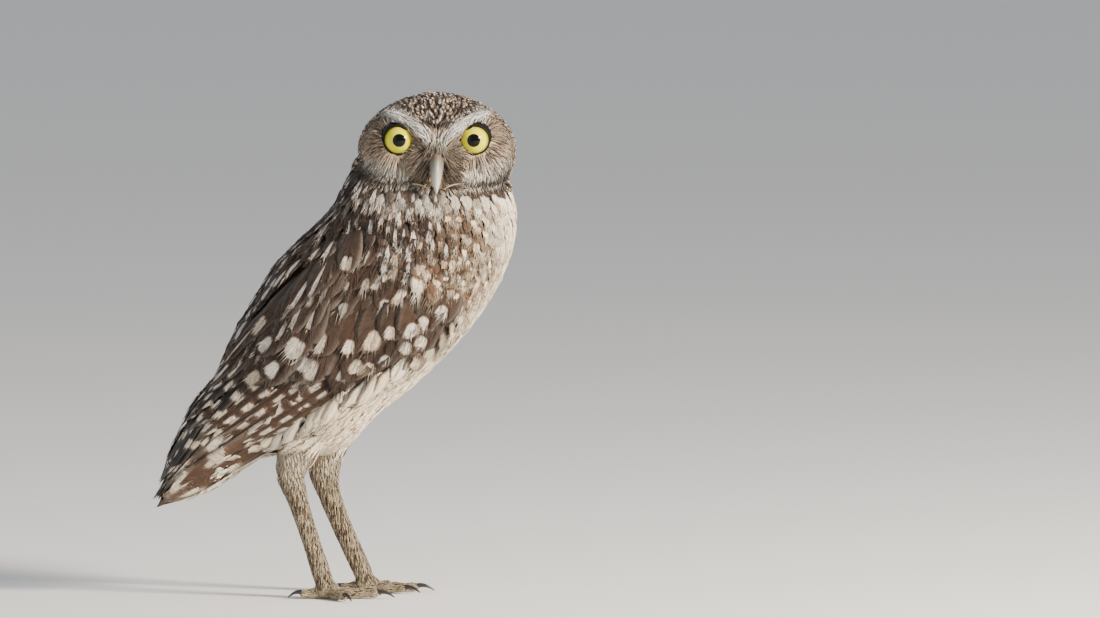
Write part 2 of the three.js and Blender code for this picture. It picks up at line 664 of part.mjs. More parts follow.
// A claw starts inside the toe's end and curls down to just above the floor.
function clawBody(leg, digit, grow) {
  const heading = radians(digit.heading) * leg.side;
  const ahead = new THREE.Vector3(Math.cos(heading), Math.sin(heading), 0);
  const across = new THREE.Vector3(-Math.sin(heading), Math.cos(heading), 0);
  const [x, y] = toePoint(leg, digit, digit.length - claw.sunk);
  const start = new THREE.Vector3(x, y, toe.centre + claw.rise - 0.6);
  const rings = Array.from({ length: claw.segments + 1 }, (_, k) => {
    const t = k / claw.segments;
    const turn = claw.curl * (t * 1.5 - 0.45);
    const reach = digit.claw * t;
    const spot = start.clone().addScaledVector(ahead, reach * 0.94);
    spot.z += claw.rise * Math.sin(Math.PI * Math.min(1, t * 0.9)) * 0.9 - t * t * 1.9;
    const radius = lerp(claw.radius, 0.3, t ** 1.2) + grow;
    const up = new THREE.Vector3(0, 0, 1).applyAxisAngle(across, turn * 0.6);
    return Array.from({ length: claw.sides }, (_, i) => {
      const angle = (2 * Math.PI * i) / claw.sides;
      const wide = radius * 0.8 * Math.cos(angle);
      return spot.clone().addScaledVector(across, wide).addScaledVector(up, radius * Math.sin(angle));
    });
  });
  return loft(rings);
}

function footBody(leg) {
  const pad = new THREE.IcosahedronGeometry(footPad.radius, 1);
  pad.translate(leg.foot[0], leg.foot[1], footPad.centre);
  const whole = joined([bodyOf(pad), ...toes.map((digit) => toeBody(leg, digit))]);
  const claws = joined(toes.map((digit) => clawBody(leg, digit, gap)));
  return whole.trimByPlane([0, 0, 1], 0).subtract(joined([claws, shankBody(leg, gap)]));
}

const owl = new THREE.Group();

function addPiece(name, body, [colour, roughness]) {
  const mesh = largest(body).getMesh();
  const geometry = new THREE.BufferGeometry();
  geometry.setAttribute("position", new THREE.BufferAttribute(new Float32Array(mesh.vertProperties), 3));
  geometry.setIndex(new THREE.BufferAttribute(new Uint32Array(mesh.triVerts), 1));
  geometry.computeVertexNormals();
  const finish = new THREE.MeshStandardMaterial({ color: colour, roughness, metalness: 0 });
  const piece = new THREE.Mesh(geometry, finish);
  piece.name = name;
  owl.add(piece);
}

function addHead() {
  const openings = [-1, 1].flatMap((side) => [eyeBody(side, gap), lidOpening(side)]);
  const sockets = joined([...openings, ...bills(gap)]);
  addPiece("head", joined([headBody(0), lidRing(-1), lidRing(1)]).subtract(sockets), colours.face);
  addPiece("eye_right", eyeBody(-1, 0), colours.iris);
  addPiece("eye_left", eyeBody(1, 0), colours.iris);
  addPiece("bill_upper", billUpper(), colours.horn);
  addPiece("bill_lower", bills(0)[1], colours.horn);
}

function addTrunk() {
  const whole = trunk();
  const beds = joined([wingSpace(-1), wingSpace(1)]);
  const thighs = joined([thighBody(legs.right, gap), thighBody(legs.left, gap)]);
  const neck = partedAt(whole, trunkEnds.neckBase, true);
  const torso = partedAt(partedAt(whole, trunkEnds.neckBase, false), trunkEnds.tailRoot, true);
  const rump = partedAt(whole, trunkEnds.tailRoot, false);
  addPiece("neck", neck.subtract(joined([headBody(gap), ...bills(gap)])), colours.brown);
  addPiece("torso", torso.subtract(beds).subtract(thighs), colours.cream);
  const tailWhole = partedAt(tailBody(rump), trunkEnds.tailRoot, false);
  addPiece("tail", tailWhole.subtract(beds).subtract(thighs), colours.flightBrown);
}

function addWings() {
  addPiece("wing_right", wingBody(-1), colours.wingBrown);
  addPiece("wing_left", wingBody(1), colours.wingBrown);
}

function addLegs() {
  Object.entries(legs).forEach(([name, leg]) => {
    const shank = shankBody(leg, 0).subtract(thighBody(leg, gap));
    const foot = footBody(leg);
    addPiece(`thigh_${name}`, thighBody(leg, 0), colours.leg);
    addPiece(`shank_${name}`, shank, colours.leg);
    addPiece(`foot_${name}`, foot, colours.leg);
    toes.forEach((digit) => {
      addPiece(`claw_${name}_${digit.name}`, clawBody(leg, digit, 0), colours.clawBlack);
    });
  });
}

addHead();
addTrunk();
addWings();
addLegs();

// The frame's origin is on the floor, below the middle of the bird's box.
const box = new THREE.Box3().setFromObject(owl);
owl.position.set(-(box.min.x + box.max.x) / 2, -(box.min.y + box.max.y) / 2, -box.min.z);

export default owl;
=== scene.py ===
# Burrowing owl, standing, as a museum model: feathers laid over a skin, one by one.
# Sizes in the dictionaries are millimetres in the bird's own frame; meshes are made in metres.
import math
from functools import partial
from itertools import product
import bpy
import numpy as np
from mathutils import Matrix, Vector
from mathutils.bvhtree import BVHTree


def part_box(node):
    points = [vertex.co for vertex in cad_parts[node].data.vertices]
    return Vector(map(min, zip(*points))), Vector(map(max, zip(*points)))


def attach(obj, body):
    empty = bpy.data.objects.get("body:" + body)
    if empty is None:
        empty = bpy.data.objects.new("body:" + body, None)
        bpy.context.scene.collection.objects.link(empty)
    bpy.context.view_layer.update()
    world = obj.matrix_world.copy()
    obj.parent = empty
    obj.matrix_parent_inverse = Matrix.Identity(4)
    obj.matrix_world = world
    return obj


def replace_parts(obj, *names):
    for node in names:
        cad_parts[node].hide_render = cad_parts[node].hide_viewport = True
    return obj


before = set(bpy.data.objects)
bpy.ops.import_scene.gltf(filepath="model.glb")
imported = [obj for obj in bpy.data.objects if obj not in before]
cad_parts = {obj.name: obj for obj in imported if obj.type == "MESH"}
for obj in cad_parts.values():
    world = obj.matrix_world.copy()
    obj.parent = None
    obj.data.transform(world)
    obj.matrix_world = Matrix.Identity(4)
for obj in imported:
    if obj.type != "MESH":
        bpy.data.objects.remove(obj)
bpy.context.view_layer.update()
mm = 0.001
rng = np.random.default_rng(41)
print("frame loaded,", len(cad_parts), "nodes")


# Small helpers

def smooth(t):
    c = np.clip(t, 0, 1)
    return c * c * (3 - 2 * c)


def mix(a, b, t):
    return a + (b - a) * t


def unit(v):
    return v / np.maximum(np.linalg.norm(v, axis=-1, keepdims=True), 1e-9)


def squareTo(v, way):  # v turned square to a way, at unit length
    return unit(v - way * (v * way).sum(axis=-1, keepdims=True))


def circle(sides):
    return np.linspace(0, 2 * np.pi, sides, endpoint=False)


def grid(rows, columns):
    return np.meshgrid(rows, columns, indexing="ij")


def columns(*values):  # numbers side by side, as points or as one row for each feather
    return np.stack(np.broadcast_arrays(*values), axis=-1)


def paint(red, green, blue):  # a colour as a screen shows it, 0 to 255, made linear
    c = np.array([red, green, blue], float) / 255
    return np.where(c <= 0.04045, c / 12.92, ((c + 0.055) / 1.055) ** 2.4)


def spread(pair, chance):  # the first number and so much of the second
    return pair[0] + pair[1] * chance


def near(value, middle, width):
    return np.exp(-((value - middle) / width) ** 2)


def runThrough(table, place):  # a smooth line through the rows of a table
    place = np.asarray(place, float)
    last = len(table) - 1
    spot = np.clip(place, 0, last - 1e-6)
    i = np.floor(spot).astype(int)
    t = (spot - i)[..., None]
    p1, p2 = table[i], table[i + 1]
    p0 = np.where((i > 0)[..., None], table[np.maximum(i - 1, 0)], 2 * p1 - p2)
    p3 = np.where((i + 2 <= last)[..., None], table[np.minimum(i + 2, last)], 2 * p2 - p1)
    bend, twist = 2 * p0 - 5 * p1 + 4 * p2 - p3, 3 * p1 - p0 - 3 * p2 + p3
    value = 0.5 * (2 * p1 + (p2 - p0) * t + bend * t * t + twist * t ** 3)
    value = np.where((place < 0)[..., None], table[0] + (table[1] - table[0]) * place[..., None], value)
    over = table[last] + (table[last] - table[last - 1]) * (place - last)[..., None]
    return np.where((place > last)[..., None], over, value)


# The body as the frame's solids have it: x and z of back and front, and half the width, tail tip to nape
bodyPlan = {
    "sections": [
        (-75.6, 40, -71.1, 32.4, 12), (-74.2, 46.6, -65.5, 34.5, 14), (-70, 58.5, -53, 41.2, 16),
        (-64.2, 68.8, -43, 48.2, 18.5), (-58.4, 79.7, -27.5, 56, 22), (-50.4, 92.3, -8.2, 56.2, 26.5),
        (-43.1, 106.6, 4.5, 61.5, 31.5), (-34.4, 121.8, 16, 74, 35.5), (-24.2, 137.4, 32.4, 87.3, 37.5),
        (-12.7, 149, 45.5, 99.6, 38), (-2.2, 159.6, 58.2, 114.4, 37), (2.1, 166.9, 68.5, 132, 33.5),
        (4.6, 172.5, 73.8, 150.5, 28.5), (6.6, 178.5, 72.6, 168, 22.5), (12, 186, 69, 182, 15)],
    "square": 2.3, "neckSquare": 2, "squareFrom": 10.5, "squareOver": 2.5,
    "wingEdges": [  # section, upper and lower edge of the folded wing in degrees from the back
        (-0.5, 58, 128), (1.1, 57, 131), (2.4, 52, 136), (3, 16, 136), (3.8, 3.5, 132), (4.3, 3.5, 129),
        (5, 3.5, 119), (5.6, 3.5, 117), (7, 8, 131), (8, 15, 142), (9, 21, 147), (10, 33, 153),
        (10.5, 46, 142), (10.9, 74, 112)],
    "wingSoft": 14,
}
headPlan = {"centre": (41.4, 0, 184), "halfWide": 32.6, "front": 25, "back": 27, "up": 23.2, "down": 20,
            "crown": 1.85, "chin": 3, "face": 2.6, "nape": 2}
eyePlan = {"lateral": 15.2, "up": 4.5, "globe": 8, "forward": 14.4, "iris": 5.9, "rise": 1.5, "pupil": 2.6}

bodySections = np.array(bodyPlan["sections"], float)
wingEdges = np.array(bodyPlan["wingEdges"], float)
eyeLow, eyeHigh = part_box("eye_right")
shiftX = (eyeLow.x + eyeHigh.x) / 2 / mm - (headPlan["centre"][0] - eyePlan["lateral"])
bodySections[:, [0, 2]] += shiftX
headCentre = np.array(headPlan["centre"], float) + (shiftX, 0, 0)


def sectionAt(place):
    rows = runThrough(bodySections, place)
    power = mix(bodyPlan["square"], bodyPlan["neckSquare"],
                smooth((np.asarray(place) - bodyPlan["squareFrom"]) / bodyPlan["squareOver"]))
    return rows, power


def bodySurface(place, degrees):
    rows, power = sectionAt(place)
    c, s = np.cos(np.radians(degrees)), np.sin(np.radians(degrees))
    reach = (np.abs(c) ** power + np.abs(s) ** power) ** (-1 / power)
    along, out = -c * reach, s * reach * rows[..., 4]
    x = (rows[..., 0] + rows[..., 2]) / 2 + along * (rows[..., 2] - rows[..., 0]) / 2
    z = (rows[..., 1] + rows[..., 3]) / 2 + along * (rows[..., 3] - rows[..., 1]) / 2
    return columns(x, out, z)


def bodyNormal(place, degrees):
    along = bodySurface(place + 0.05, degrees) - bodySurface(place - 0.05, degrees)
    around = bodySurface(place, degrees + 1) - bodySurface(place, degrees - 1)
    return unit(np.cross(along, around))


def onBody(place, degrees, depth):
    return bodySurface(place, degrees) - bodyNormal(place, degrees) * np.asarray(depth)[..., None]


def acrossShare(rows, x, z):  # how far a point lies from the back to the front of its section
    dx, dz = rows[..., 2] - rows[..., 0], rows[..., 3] - rows[..., 1]
    return ((x - rows[..., 0]) * dx + (z - rows[..., 1]) * dz) / (dx * dx + dz * dz)


def fromSide(x, z):  # section number and degrees from the back of a point seen from the side
    low, high = np.full(np.shape(x), -1.0), np.full(np.shape(x), 13.8)

    def miss(place):
        r = runThrough(bodySections, place)
        return (x - r[..., 0]) * (r[..., 3] - r[..., 1]) - (z - r[..., 1]) * (r[..., 2] - r[..., 0])
    atLow = miss(low)
    for _ in range(30):  # halves the stretch that holds the section
        middle = (low + high) / 2
        same = miss(middle) * atLow > 0
        low, high = np.where(same, middle, low), np.where(same, high, middle)
    rows, power = sectionAt(low)
    along = np.clip(2 * acrossShare(rows, x, z) - 1, -0.985, 0.985)
    out = (1 - np.abs(along) ** power) ** (1 / power)
    return low, np.degrees(np.arctan2(out, -along))


def bodyPlace(points):  # section number and degrees from the back of points near the body
    place, _ = fromSide(points[:, 0], points[:, 2])
    rows, _ = sectionAt(place)
    share = acrossShare(rows, points[:, 0], points[:, 2])
    return place, np.degrees(np.arctan2(points[:, 1] / rows[:, 4], 1 - 2 * share))


def insideWing(place, degrees):  # 1 well inside the folded wing's outline, 0 outside
    d, p = np.abs(degrees), bodyPlan
    upper, lower = (np.interp(place, wingEdges[:, 0], wingEdges[:, k]) for k in (1, 2))
    inside = np.minimum((d - upper) / p["wingSoft"], (lower - d) / p["wingSoft"])
    return smooth(np.minimum(inside, np.minimum((wingEdges[-1, 0] - place) / 0.8, (place + 1) / 0.5)))


# Head in its own frame: lateral to +X, forward to -Y, up
facePlan = {"dishDepth": 2.4, "dishRadius": 7.5, "browInner": (2, 5.2), "browOuter": (17, 13.8),
            "browHeight": 2, "browWidth": 3, "rictusUp": -6, "rictusHeight": 1.6, "rictusWidth": 6}


def fromHead(lateral, forward, up):
    return headCentre + columns(lateral, -np.asarray(forward, float), up)


def nearLine(x, z, a, b):
    dx, dz = b[0] - a[0], b[1] - a[1]
    t = np.clip(((x - a[0]) * dx + (z - a[1]) * dz) / (dx * dx + dz * dz), 0, 1)
    return np.hypot(x - a[0] - t * dx, z - a[1] - t * dz)


def faceRelief(lateral, up):
    p = facePlan
    x = np.abs(lateral)
    dish = -p["dishDepth"] * near(np.hypot(x - eyePlan["lateral"], up - eyePlan["up"]), 0, p["dishRadius"])
    ridge = p["browHeight"] * near(nearLine(x, up, p["browInner"], p["browOuter"]), 0, p["browWidth"])
    bristles = p["rictusHeight"] * near(np.hypot(x, up - p["rictusUp"]), 0, p["rictusWidth"])
    return dish + ridge + bristles


def headReach(way):  # how far the plain head reaches along unit directions (lateral, forward, up)
    p = headPlan
    x, f, z = way[..., 0], way[..., 1], way[..., 2]
    deep = np.where(f > 0, p["front"], p["back"])
    high = np.where(z > 0, p["up"], p["down"])
    level = mix(p["nape"], p["face"], smooth(f * 2))
    upright = mix(p["crown"], p["chin"], smooth(-2.2 * z))
    girth = (np.abs(x / p["halfWide"]) ** level + np.abs(f / deep) ** level) ** (upright / level)
    reach = (girth + np.abs(z / high) ** upright) ** (-1 / upright)
    return reach + faceRelief(x * reach, z * reach) * smooth(f * 2)


def headLocal(points):
    local = points - headCentre
    return local[..., 0], -local[..., 1], local[..., 2]


def headShare(points):  # distance from the head's centre as a share of the head's own reach
    way = columns(*headLocal(points))
    distance = np.linalg.norm(way, axis=-1)
    return distance / headReach(way / np.maximum(distance, 1e-6)[..., None])


# Limbs, as x, y, z and radius
legPlan = {
    "right": {"thigh": [(-8, -14, 76, 10), (-15.5, -14.5, 62, 7.8), (-18.9, -14, 51, 5.6)],
              "shank": [(-18.9, -14, 51, 4.9), (-14.6, -13.8, 37.5, 4.1), (-9.6, -13.7, 22, 3.7),
                        (-5.6, -13.5, 9.5, 4), (-3.5, -13.5, 3, 3.2)],
              "foot": (-3.5, -13.5), "side": -1},
    "left": {"thigh": [(1, 13.5, 75, 10), (-4.2, 14.4, 60, 7.4), (-5.4, 14, 48, 5.9)],
             "shank": [(-5.4, 14, 48, 5.1), (-2.2, 13.8, 38, 4.5), (4, 13.7, 23, 4.1),
                       (10, 13.5, 10, 4), (12.5, 13.5, 3, 3.2)],
             "foot": (12.5, 13.5), "side": 1},
}
toePlan = {  # each digit by name, heading in degrees, length and length of its claw
    "digits": [("inner", -20, 17, 8.5), ("middle", 4, 21, 9), ("outer", 62, 16, 8), ("hind", 172, 11, 7.5)],
    "radius": 2.2, "centre": 1.75, "knuckles": 2, "swell": 0.12, "taper": (1.05, 0.8), "end": (0.95, 0.7),
    "pad": [(0.45, 3), (1.2, 4.1), (2.6, 4.4), (4.4, 4), (6, 3.4)]}  # height and radius


def limbSpots(spots, steps):
    table = np.array(spots, float) + (shiftX, 0, 0, 0)
    return runThrough(table, np.linspace(0, len(table) - 1, steps))


def toeWay(leg, heading):
    turn = math.radians(heading) * leg["side"]
    return np.array([math.cos(turn), math.sin(turn), 0])


def toePoint(leg, heading, distance):
    x, y, _ = toeWay(leg, heading) * distance
    return leg["foot"][0] + shiftX + x, leg["foot"][1] + y


# Meshes from arrays

def makeMesh(name, points, faces):  # faces: arrays of polygons, each of one size
    mesh = bpy.data.meshes.new(name)
    points = np.asarray(points, np.float32).reshape(-1, 3) * mm
    groups = [np.asarray(f, np.int32) for f in faces if len(f)]
    loops = np.concatenate([g.ravel() for g in groups])
    sizes = np.concatenate([np.full(len(g), g.shape[1], np.int32) for g in groups])
    starts = np.concatenate([[0], np.cumsum(sizes)[:-1]]).astype(np.int32)
    shade = np.full(len(sizes), True)
    for part, count, values in (
            (mesh.vertices, len(points), {"co": points.ravel()}),
            (mesh.loops, len(loops), {"vertex_index": loops}),
            (mesh.polygons, len(sizes), {"loop_start": starts, "loop_total": sizes, "use_smooth": shade})):
        part.add(count)
        for field, numbers in values.items():
            part.foreach_set(field, numbers)
    mesh.update(calc_edges=True)
    mesh.validate()
    piece = bpy.data.objects.new(name, mesh)
    bpy.context.scene.collection.objects.link(piece)
    return piece


def readMesh(part, field, width=1, kind=np.float32):  # one field of a mesh's vertices, corners or faces
    values = np.empty(len(part) * width, kind)
    part.foreach_get(field, values)
    return values.reshape(-1, width) if width > 1 else values


def skinPoints(mesh):
    return readMesh(mesh.vertices, "co", 3) / mm


def giveMap(piece, name, values):  # one pair of numbers for each vertex, as a UV map
    corner = readMesh(piece.data.loops, "vertex_index", kind=np.int32)
    layer = piece.data.uv_layers.new(name=name)
    layer.data.foreach_set("uv", np.asarray(values, np.float32).reshape(-1, 2)[corner].ravel())


def giveColour(piece, name, values):
    values = np.asarray(values, np.float32).reshape(-1, 3)
    full = np.concatenate([values, np.ones((len(values), 1), np.float32)], axis=1)
    layer = piece.data.attributes.new(name, "FLOAT_COLOR", "POINT")
    layer.data.foreach_set("color", full.ravel())


def tube(spots, sides, beside=(0, 1, 0)):  # closed tube through spots of x, y, z and radius
    spots = np.asarray(spots, float)
    centre, radius = spots[:, :3], spots[:, 3]
    along = unit(np.gradient(centre, axis=0))
    up = unit(np.cross(along, np.broadcast_to(np.array(beside, float), along.shape)))
    across, turn = np.cross(up, along), circle(sides)
    ring = np.cos(turn)[None, :, None] * across[:, None] + np.sin(turn)[None, :, None] * up[:, None]
    return centre[:, None] + ring * radius[:, None, None], tubeFaces(len(spots), sides)


def straightTube(spots, sides, across, up):  # its rings all face the same way
    spots, turn = np.asarray(spots, float), circle(sides)
    ring = np.cos(turn)[:, None] * across + np.sin(turn)[:, None] * up
    return spots[:, None, :3] + ring[None] * spots[:, 3][:, None, None], tubeFaces(len(spots), sides)


def ballWays(rows, sides, pole, finer=1.0):  # unit directions over a ball, finer towards the front
    tilt, turn = grid(np.linspace(pole, np.pi - pole, rows), circle(sides))
    tilt = np.pi * (tilt / np.pi) ** finer
    return columns(np.sin(tilt) * np.cos(turn), np.cos(tilt), np.sin(tilt) * np.sin(turn))


def tubeFaces(rows, sides):
    i, j = grid(np.arange(rows - 1), np.arange(sides))
    a, b = i * sides + j, i * sides + (j + 1) % sides
    caps = np.array([np.arange(sides)[::-1], np.arange(sides) + (rows - 1) * sides])
    return [columns(a, b, b + sides, a + sides).reshape(-1, 4), caps]


def faceOut(points, faces):  # turns faces that look inwards
    spots = np.asarray(points).reshape(-1, 3)
    spots = spots - spots.mean(axis=0)
    volume = 0.0
    for group in faces:
        for k in range(1, group.shape[1] - 1):
            a, b, c = spots[group[:, 0]], spots[group[:, k]], spots[group[:, k + 1]]
            volume += (a * np.cross(b, c)).sum()
    return points, faces if volume > 0 else [group[:, ::-1] for group in faces]


def joinParts(parts):  # (points, faces) pairs into one
    points, groups, first = [], {}, 0
    for partPoints, partFaces in parts:
        partPoints = np.asarray(partPoints).reshape(-1, 3)
        points.append(partPoints)
        for group in partFaces:
            groups.setdefault(np.asarray(group).shape[1], []).append(np.asarray(group) + first)
        first += len(partPoints)
    return np.concatenate(points), [np.concatenate(g) for g in groups.values()]


# The skin: trunk, head and legs as one body, inside the feathers by the coat's depth
skinLook = {"coat": 2.3, "underWing": 4.6, "rump": 6.5, "headCoat": 1.9, "faceCoat": 1.1, "legCoat": 0.9,
            "thighCoat": 1.44, "rumpFrom": 3.4, "rumpOver": 3.2, "tailFrom": 3.2, "tailSunk": 4.5,
            "rumpUnderWing": 0.3, "socket": 6.05, "socketFloor": 15, "socketEdge": 0.75,
            "trunk": (1.2, 14), "leastWide": 0.12, "rows": 90, "headRows": 70, "sides": 96,
            "voxel": 0.8, "smoothing": {"factor": 0.6, "iterations": 5}}


def trunkDepth(place, degrees):
    p, under = skinLook, insideWing(place, degrees)
    rear = 1 - smooth((place - p["rumpFrom"]) / p["rumpOver"])
    deeper = (p["rump"] - p["coat"]) * rear * (1 - p["rumpUnderWing"] * under)
    return mix(p["coat"], p["underWing"], under) + deeper


def trunkPart():
    p = skinLook
    turns = np.linspace(0, 360, p["sides"], endpoint=False)
    place, degrees = grid(np.linspace(*p["trunk"], p["rows"]), turns)
    degrees = np.where(degrees > 180, degrees - 360, degrees)
    tailEnd = np.clip((p["tailFrom"] - place) / 2, 0, 1) ** 2 * p["tailSunk"]
    points = onBody(place, degrees, trunkDepth(place, degrees) + tailEnd)
    centre = points.mean(axis=1, keepdims=True)
    least = p["leastWide"] * np.linalg.norm(bodySurface(place, degrees) - centre, axis=-1, keepdims=True)
    away = points - centre
    away = unit(away) * np.maximum(np.linalg.norm(away, axis=-1, keepdims=True), least)
    return centre + away, tubeFaces(*place.shape)


def headPart():
    rows, sides = skinLook["headRows"], skinLook["sides"]
    way = ballWays(rows, sides, 0.02, 1.2)
    coat = mix(skinLook["headCoat"], skinLook["faceCoat"], smooth(way[..., 1] * 2))
    local = way * (headReach(way) - coat)[..., None]
    points = fromHead(*np.moveaxis(local, -1, 0))
    return points, [f[..., ::-1] for f in tubeFaces(rows, sides)]


def legParts(leg):
    p = toePlan
    thigh, shank = limbSpots(leg["thigh"], 12), limbSpots(leg["shank"], 24)
    thigh[:, 3] -= skinLook["thighCoat"]
    shank[:, 3] -= skinLook["legCoat"]
    pad = [(leg["foot"][0] + shiftX, leg["foot"][1], z, r) for z, r in p["pad"]]
    parts = [tube(thigh, 24), tube(shank, 20), straightTube(pad, 20, (1, 0, 0), (0, 1, 0))]
    for _, heading, length, _ in p["digits"]:
        t = np.linspace(0, 1, 16)
        bump = 1 + p["swell"] * np.cos(2 * np.pi * p["knuckles"] * t)
        radius = p["radius"] * mix(*p["taper"], t) * bump * np.where(t > p["end"][0], p["end"][1], 1)
        spots = [(*toePoint(leg, heading, length * s), p["centre"] + 0.35, r) for s, r in zip(t, radius)]
        x, y, _ = toeWay(leg, heading)
        parts.append(straightTube(spots, 14, np.array([-y, x, 0]), np.array([0, 0, 1.0])))
    return parts


def makeSkin():
    p, parts = skinLook, [trunkPart(), headPart()]
    for leg in legPlan.values():
        parts += legParts(leg)
    skin = makeMesh("skin", *joinParts([faceOut(*part) for part in parts]))
    for kind, settings in (("REMESH", {"mode": "VOXEL", "voxel_size": p["voxel"] * mm}),
                           ("SMOOTH", p["smoothing"])):
        modifier = skin.modifiers.new(kind.lower(), kind)
        for key, value in settings.items():
            setattr(modifier, key, value)
    mesh = bpy.data.meshes.new_from_object(skin.evaluated_get(bpy.context.evaluated_depsgraph_get()))
    skin.modifiers.clear()
    skin.data = mesh
    where = skinPoints(mesh)
    for side in (-1, 1):  # eye sockets
        local = where - fromHead(side * eyePlan["lateral"], 0, eyePlan["up"])
        reach = np.hypot(local[:, 0], local[:, 2])
        inFront = (-local[:, 1] > p["socketFloor"]) & (reach < p["socket"])
        rim = smooth((reach / p["socket"] - p["socketEdge"]) / (1 - p["socketEdge"]))
        deep = mix(p["socketFloor"], -local[:, 1], rim)
        where[:, 1] = np.where(inFront, headCentre[1] - deep, where[:, 1])
    where[:, 2] = np.maximum(where[:, 2], 0.0)
    mesh.vertices.foreach_set("co", (where * mm).astype(np.float32).ravel())
    mesh.polygons.foreach_set("use_smooth", np.full(len(mesh.polygons), True))
    mesh.update()
    return skin


skin = makeSkin()
print("skin made,", len(skin.data.polygons), "faces")


# Laying feathers: each is a thin closed vane whose middle line follows a surface

def skinReader(piece):  # all that finds the nearest place of a mesh and its smooth normal
    mesh = piece.data
    where, normal = skinPoints(mesh), readMesh(mesh.vertex_normals, "vector", 3)
    corner = readMesh(mesh.loops, "vertex_index", kind=np.int32)
    start, size = (readMesh(mesh.polygons, field, kind=np.int32) for field in ("loop_start", "loop_total"))
    polygons = [corner[a:a + n].tolist() for a, n in zip(start, size)]
    tree = BVHTree.FromPolygons([tuple(w) for w in where.tolist()], polygons)
    faceNormal = unit(normal[corner[start[:, None] + np.arange(3)]].mean(axis=1))
    centre = where[corner[start[:, None] + np.arange(4) % size[:, None]]].mean(axis=1)
    area = readMesh(mesh.polygons, "area") / mm ** 2
    return {"tree": tree, "normal": faceNormal, "centre": centre, "area": area}


def onSurface(surface, points):  # nearest points and their normals
    found = [surface["tree"].find_nearest(p) for p in points.tolist()]
    where = np.array([tuple(f[0]) for f in found])
    return where, surface["normal"][[f[2] for f in found]]


def scatterRoots(surface, spacing, wanted, tries=6):  # even, random places where wanted(points) says so
    weight = surface["area"] * wanted(surface["centre"])
    count = int(weight.sum() / spacing ** 2 * tries)
    pick = rng.choice(len(weight), count, p=weight / weight.sum())
    points = surface["centre"][pick] + rng.normal(0, 0.35 * skinLook["voxel"], (count, 3))
    taken, keep, steps = {}, [], list(product((-1, 0, 1), repeat=3))
    cells = np.floor(points / spacing).astype(int)
    for k, ((x, y, z), point) in enumerate(zip(cells.tolist(), points.tolist())):
        others = (other for dx, dy, dz in steps for other in taken.get((x + dx, y + dy, z + dz), ()))
        if all(sum((a - b) ** 2 for a, b in zip(point, other)) >= spacing ** 2 for other in others):
            taken.setdefault((x, y, z), []).append(point)
            keep.append(k)
    return points[keep]


steering = 0.35  # how much the flow turns a feather on its way


def walkOver(surface, roots, ways, lengths, times, steer):  # middle lines over a surface
    found = []
    here, normal = onSurface(surface, roots)
    way, done = squareTo(ways, normal), 0.0
    for t in times:
        if t > done:
            here, normal = onSurface(surface, here + way * (lengths * (t - done))[:, None])
            way, done = squareTo(unit(way + steer(here) * steering), normal), t
        found.append((here, normal, way))
    return [np.stack(part, 1) for part in zip(*found)]


def vaneHalf(times, widest, root, blunt):  # half width of a feather along its length, as a share
    rise = root + (1 - root) * np.sin(np.pi / 2 * np.clip(times / widest, 0, 1))
    fall = np.clip((times - widest) / (1 - widest), 0, 1)
    return rise * np.maximum((1 - fall ** blunt) ** (1 / blunt), 0.07)


bakePatch = 0.003  # size of one feather's patch in the map that the finish is baked to
vanePlan = {"roll": 0.0, "wobble": 3, "ragged": 0.05, "fray": 0.02, "arrow": 0.0,
            "lean": 0.0,  # how far the shaft lies off the vane's middle
            "strands": 0, "strandFrom": 0.3, "strandAngle": 34, "strandReach": 1.2, "strandTip": 0.6,
            "strandLongest": 1.9, "strandLift": 0.1, "strandThick": 0.2, "strandBend": 0.35,
            "strandTurn": (1.05, -0.75), "strandPlaceVary": 0.03,
            "strandAngleVary": (0.22, 0.45), "strandReachVary": (0.12, 0.25), "strandLiftVary": 0.05}


def varyWithin(pair, shape):  # chance of a spread, kept within a limit
    return np.clip(rng.normal(0, pair[0], shape), -pair[1], pair[1])


def vaneShell(lines, form):  # the vane itself: points, share of the width and of the length, faces and roll
    middle, normals, along = lines
    times, half, count = form["times"], form["half"][..., None], len(middle)
    top = np.linspace(-1, 1, form["columns"])
    k = np.concatenate([top, top[1:-1][::-1]])
    under = np.concatenate([np.zeros(len(top)), np.ones(len(top) - 2)])
    shape = (count, len(times), len(k))
    across = unit(np.cross(along, normals))
    turn = form["wobble"] * varyWithin((1, 1.8), count)
    roll = np.tan(np.radians(form["roll"]) + np.radians(turn))
    edge = half * k * (1 + rng.normal(0, form["ragged"], shape))
    rise = edge * roll[:, None, None] - form["camber"] * k ** 2 * half
    rise = rise - form["thick"] * (1 - np.abs(k)) * under
    slip = rng.normal(0, form["fray"], shape) * (times > 0.8)[None, :, None]
    slip = (slip - form["arrow"] * np.abs(k) ** 1.5 * times[:, None]) * form["length"][:, None, None]
    edge = edge + form["lean"] * half
    middle = middle + normals * form["height"][..., None]
    points = middle[:, :, None] + across[:, :, None] * edge[..., None] + normals[:, :, None] * rise[..., None]
    points = points + along[:, :, None] * slip[..., None]
    place = 0.5 + 0.5 * (k + form["lean"]) / (1 + abs(form["lean"]))
    vane = np.broadcast_to(columns(place, times[:, None]), (*shape, 2))
    first = (np.arange(count) * shape[1] * shape[2])[:, None, None]
    faces = [(group[None] + first).reshape(-1, group.shape[1]) for group in tubeFaces(*shape[1:])]
    return points.reshape(count, -1, 3), vane.reshape(count, -1, 2), faces, roll


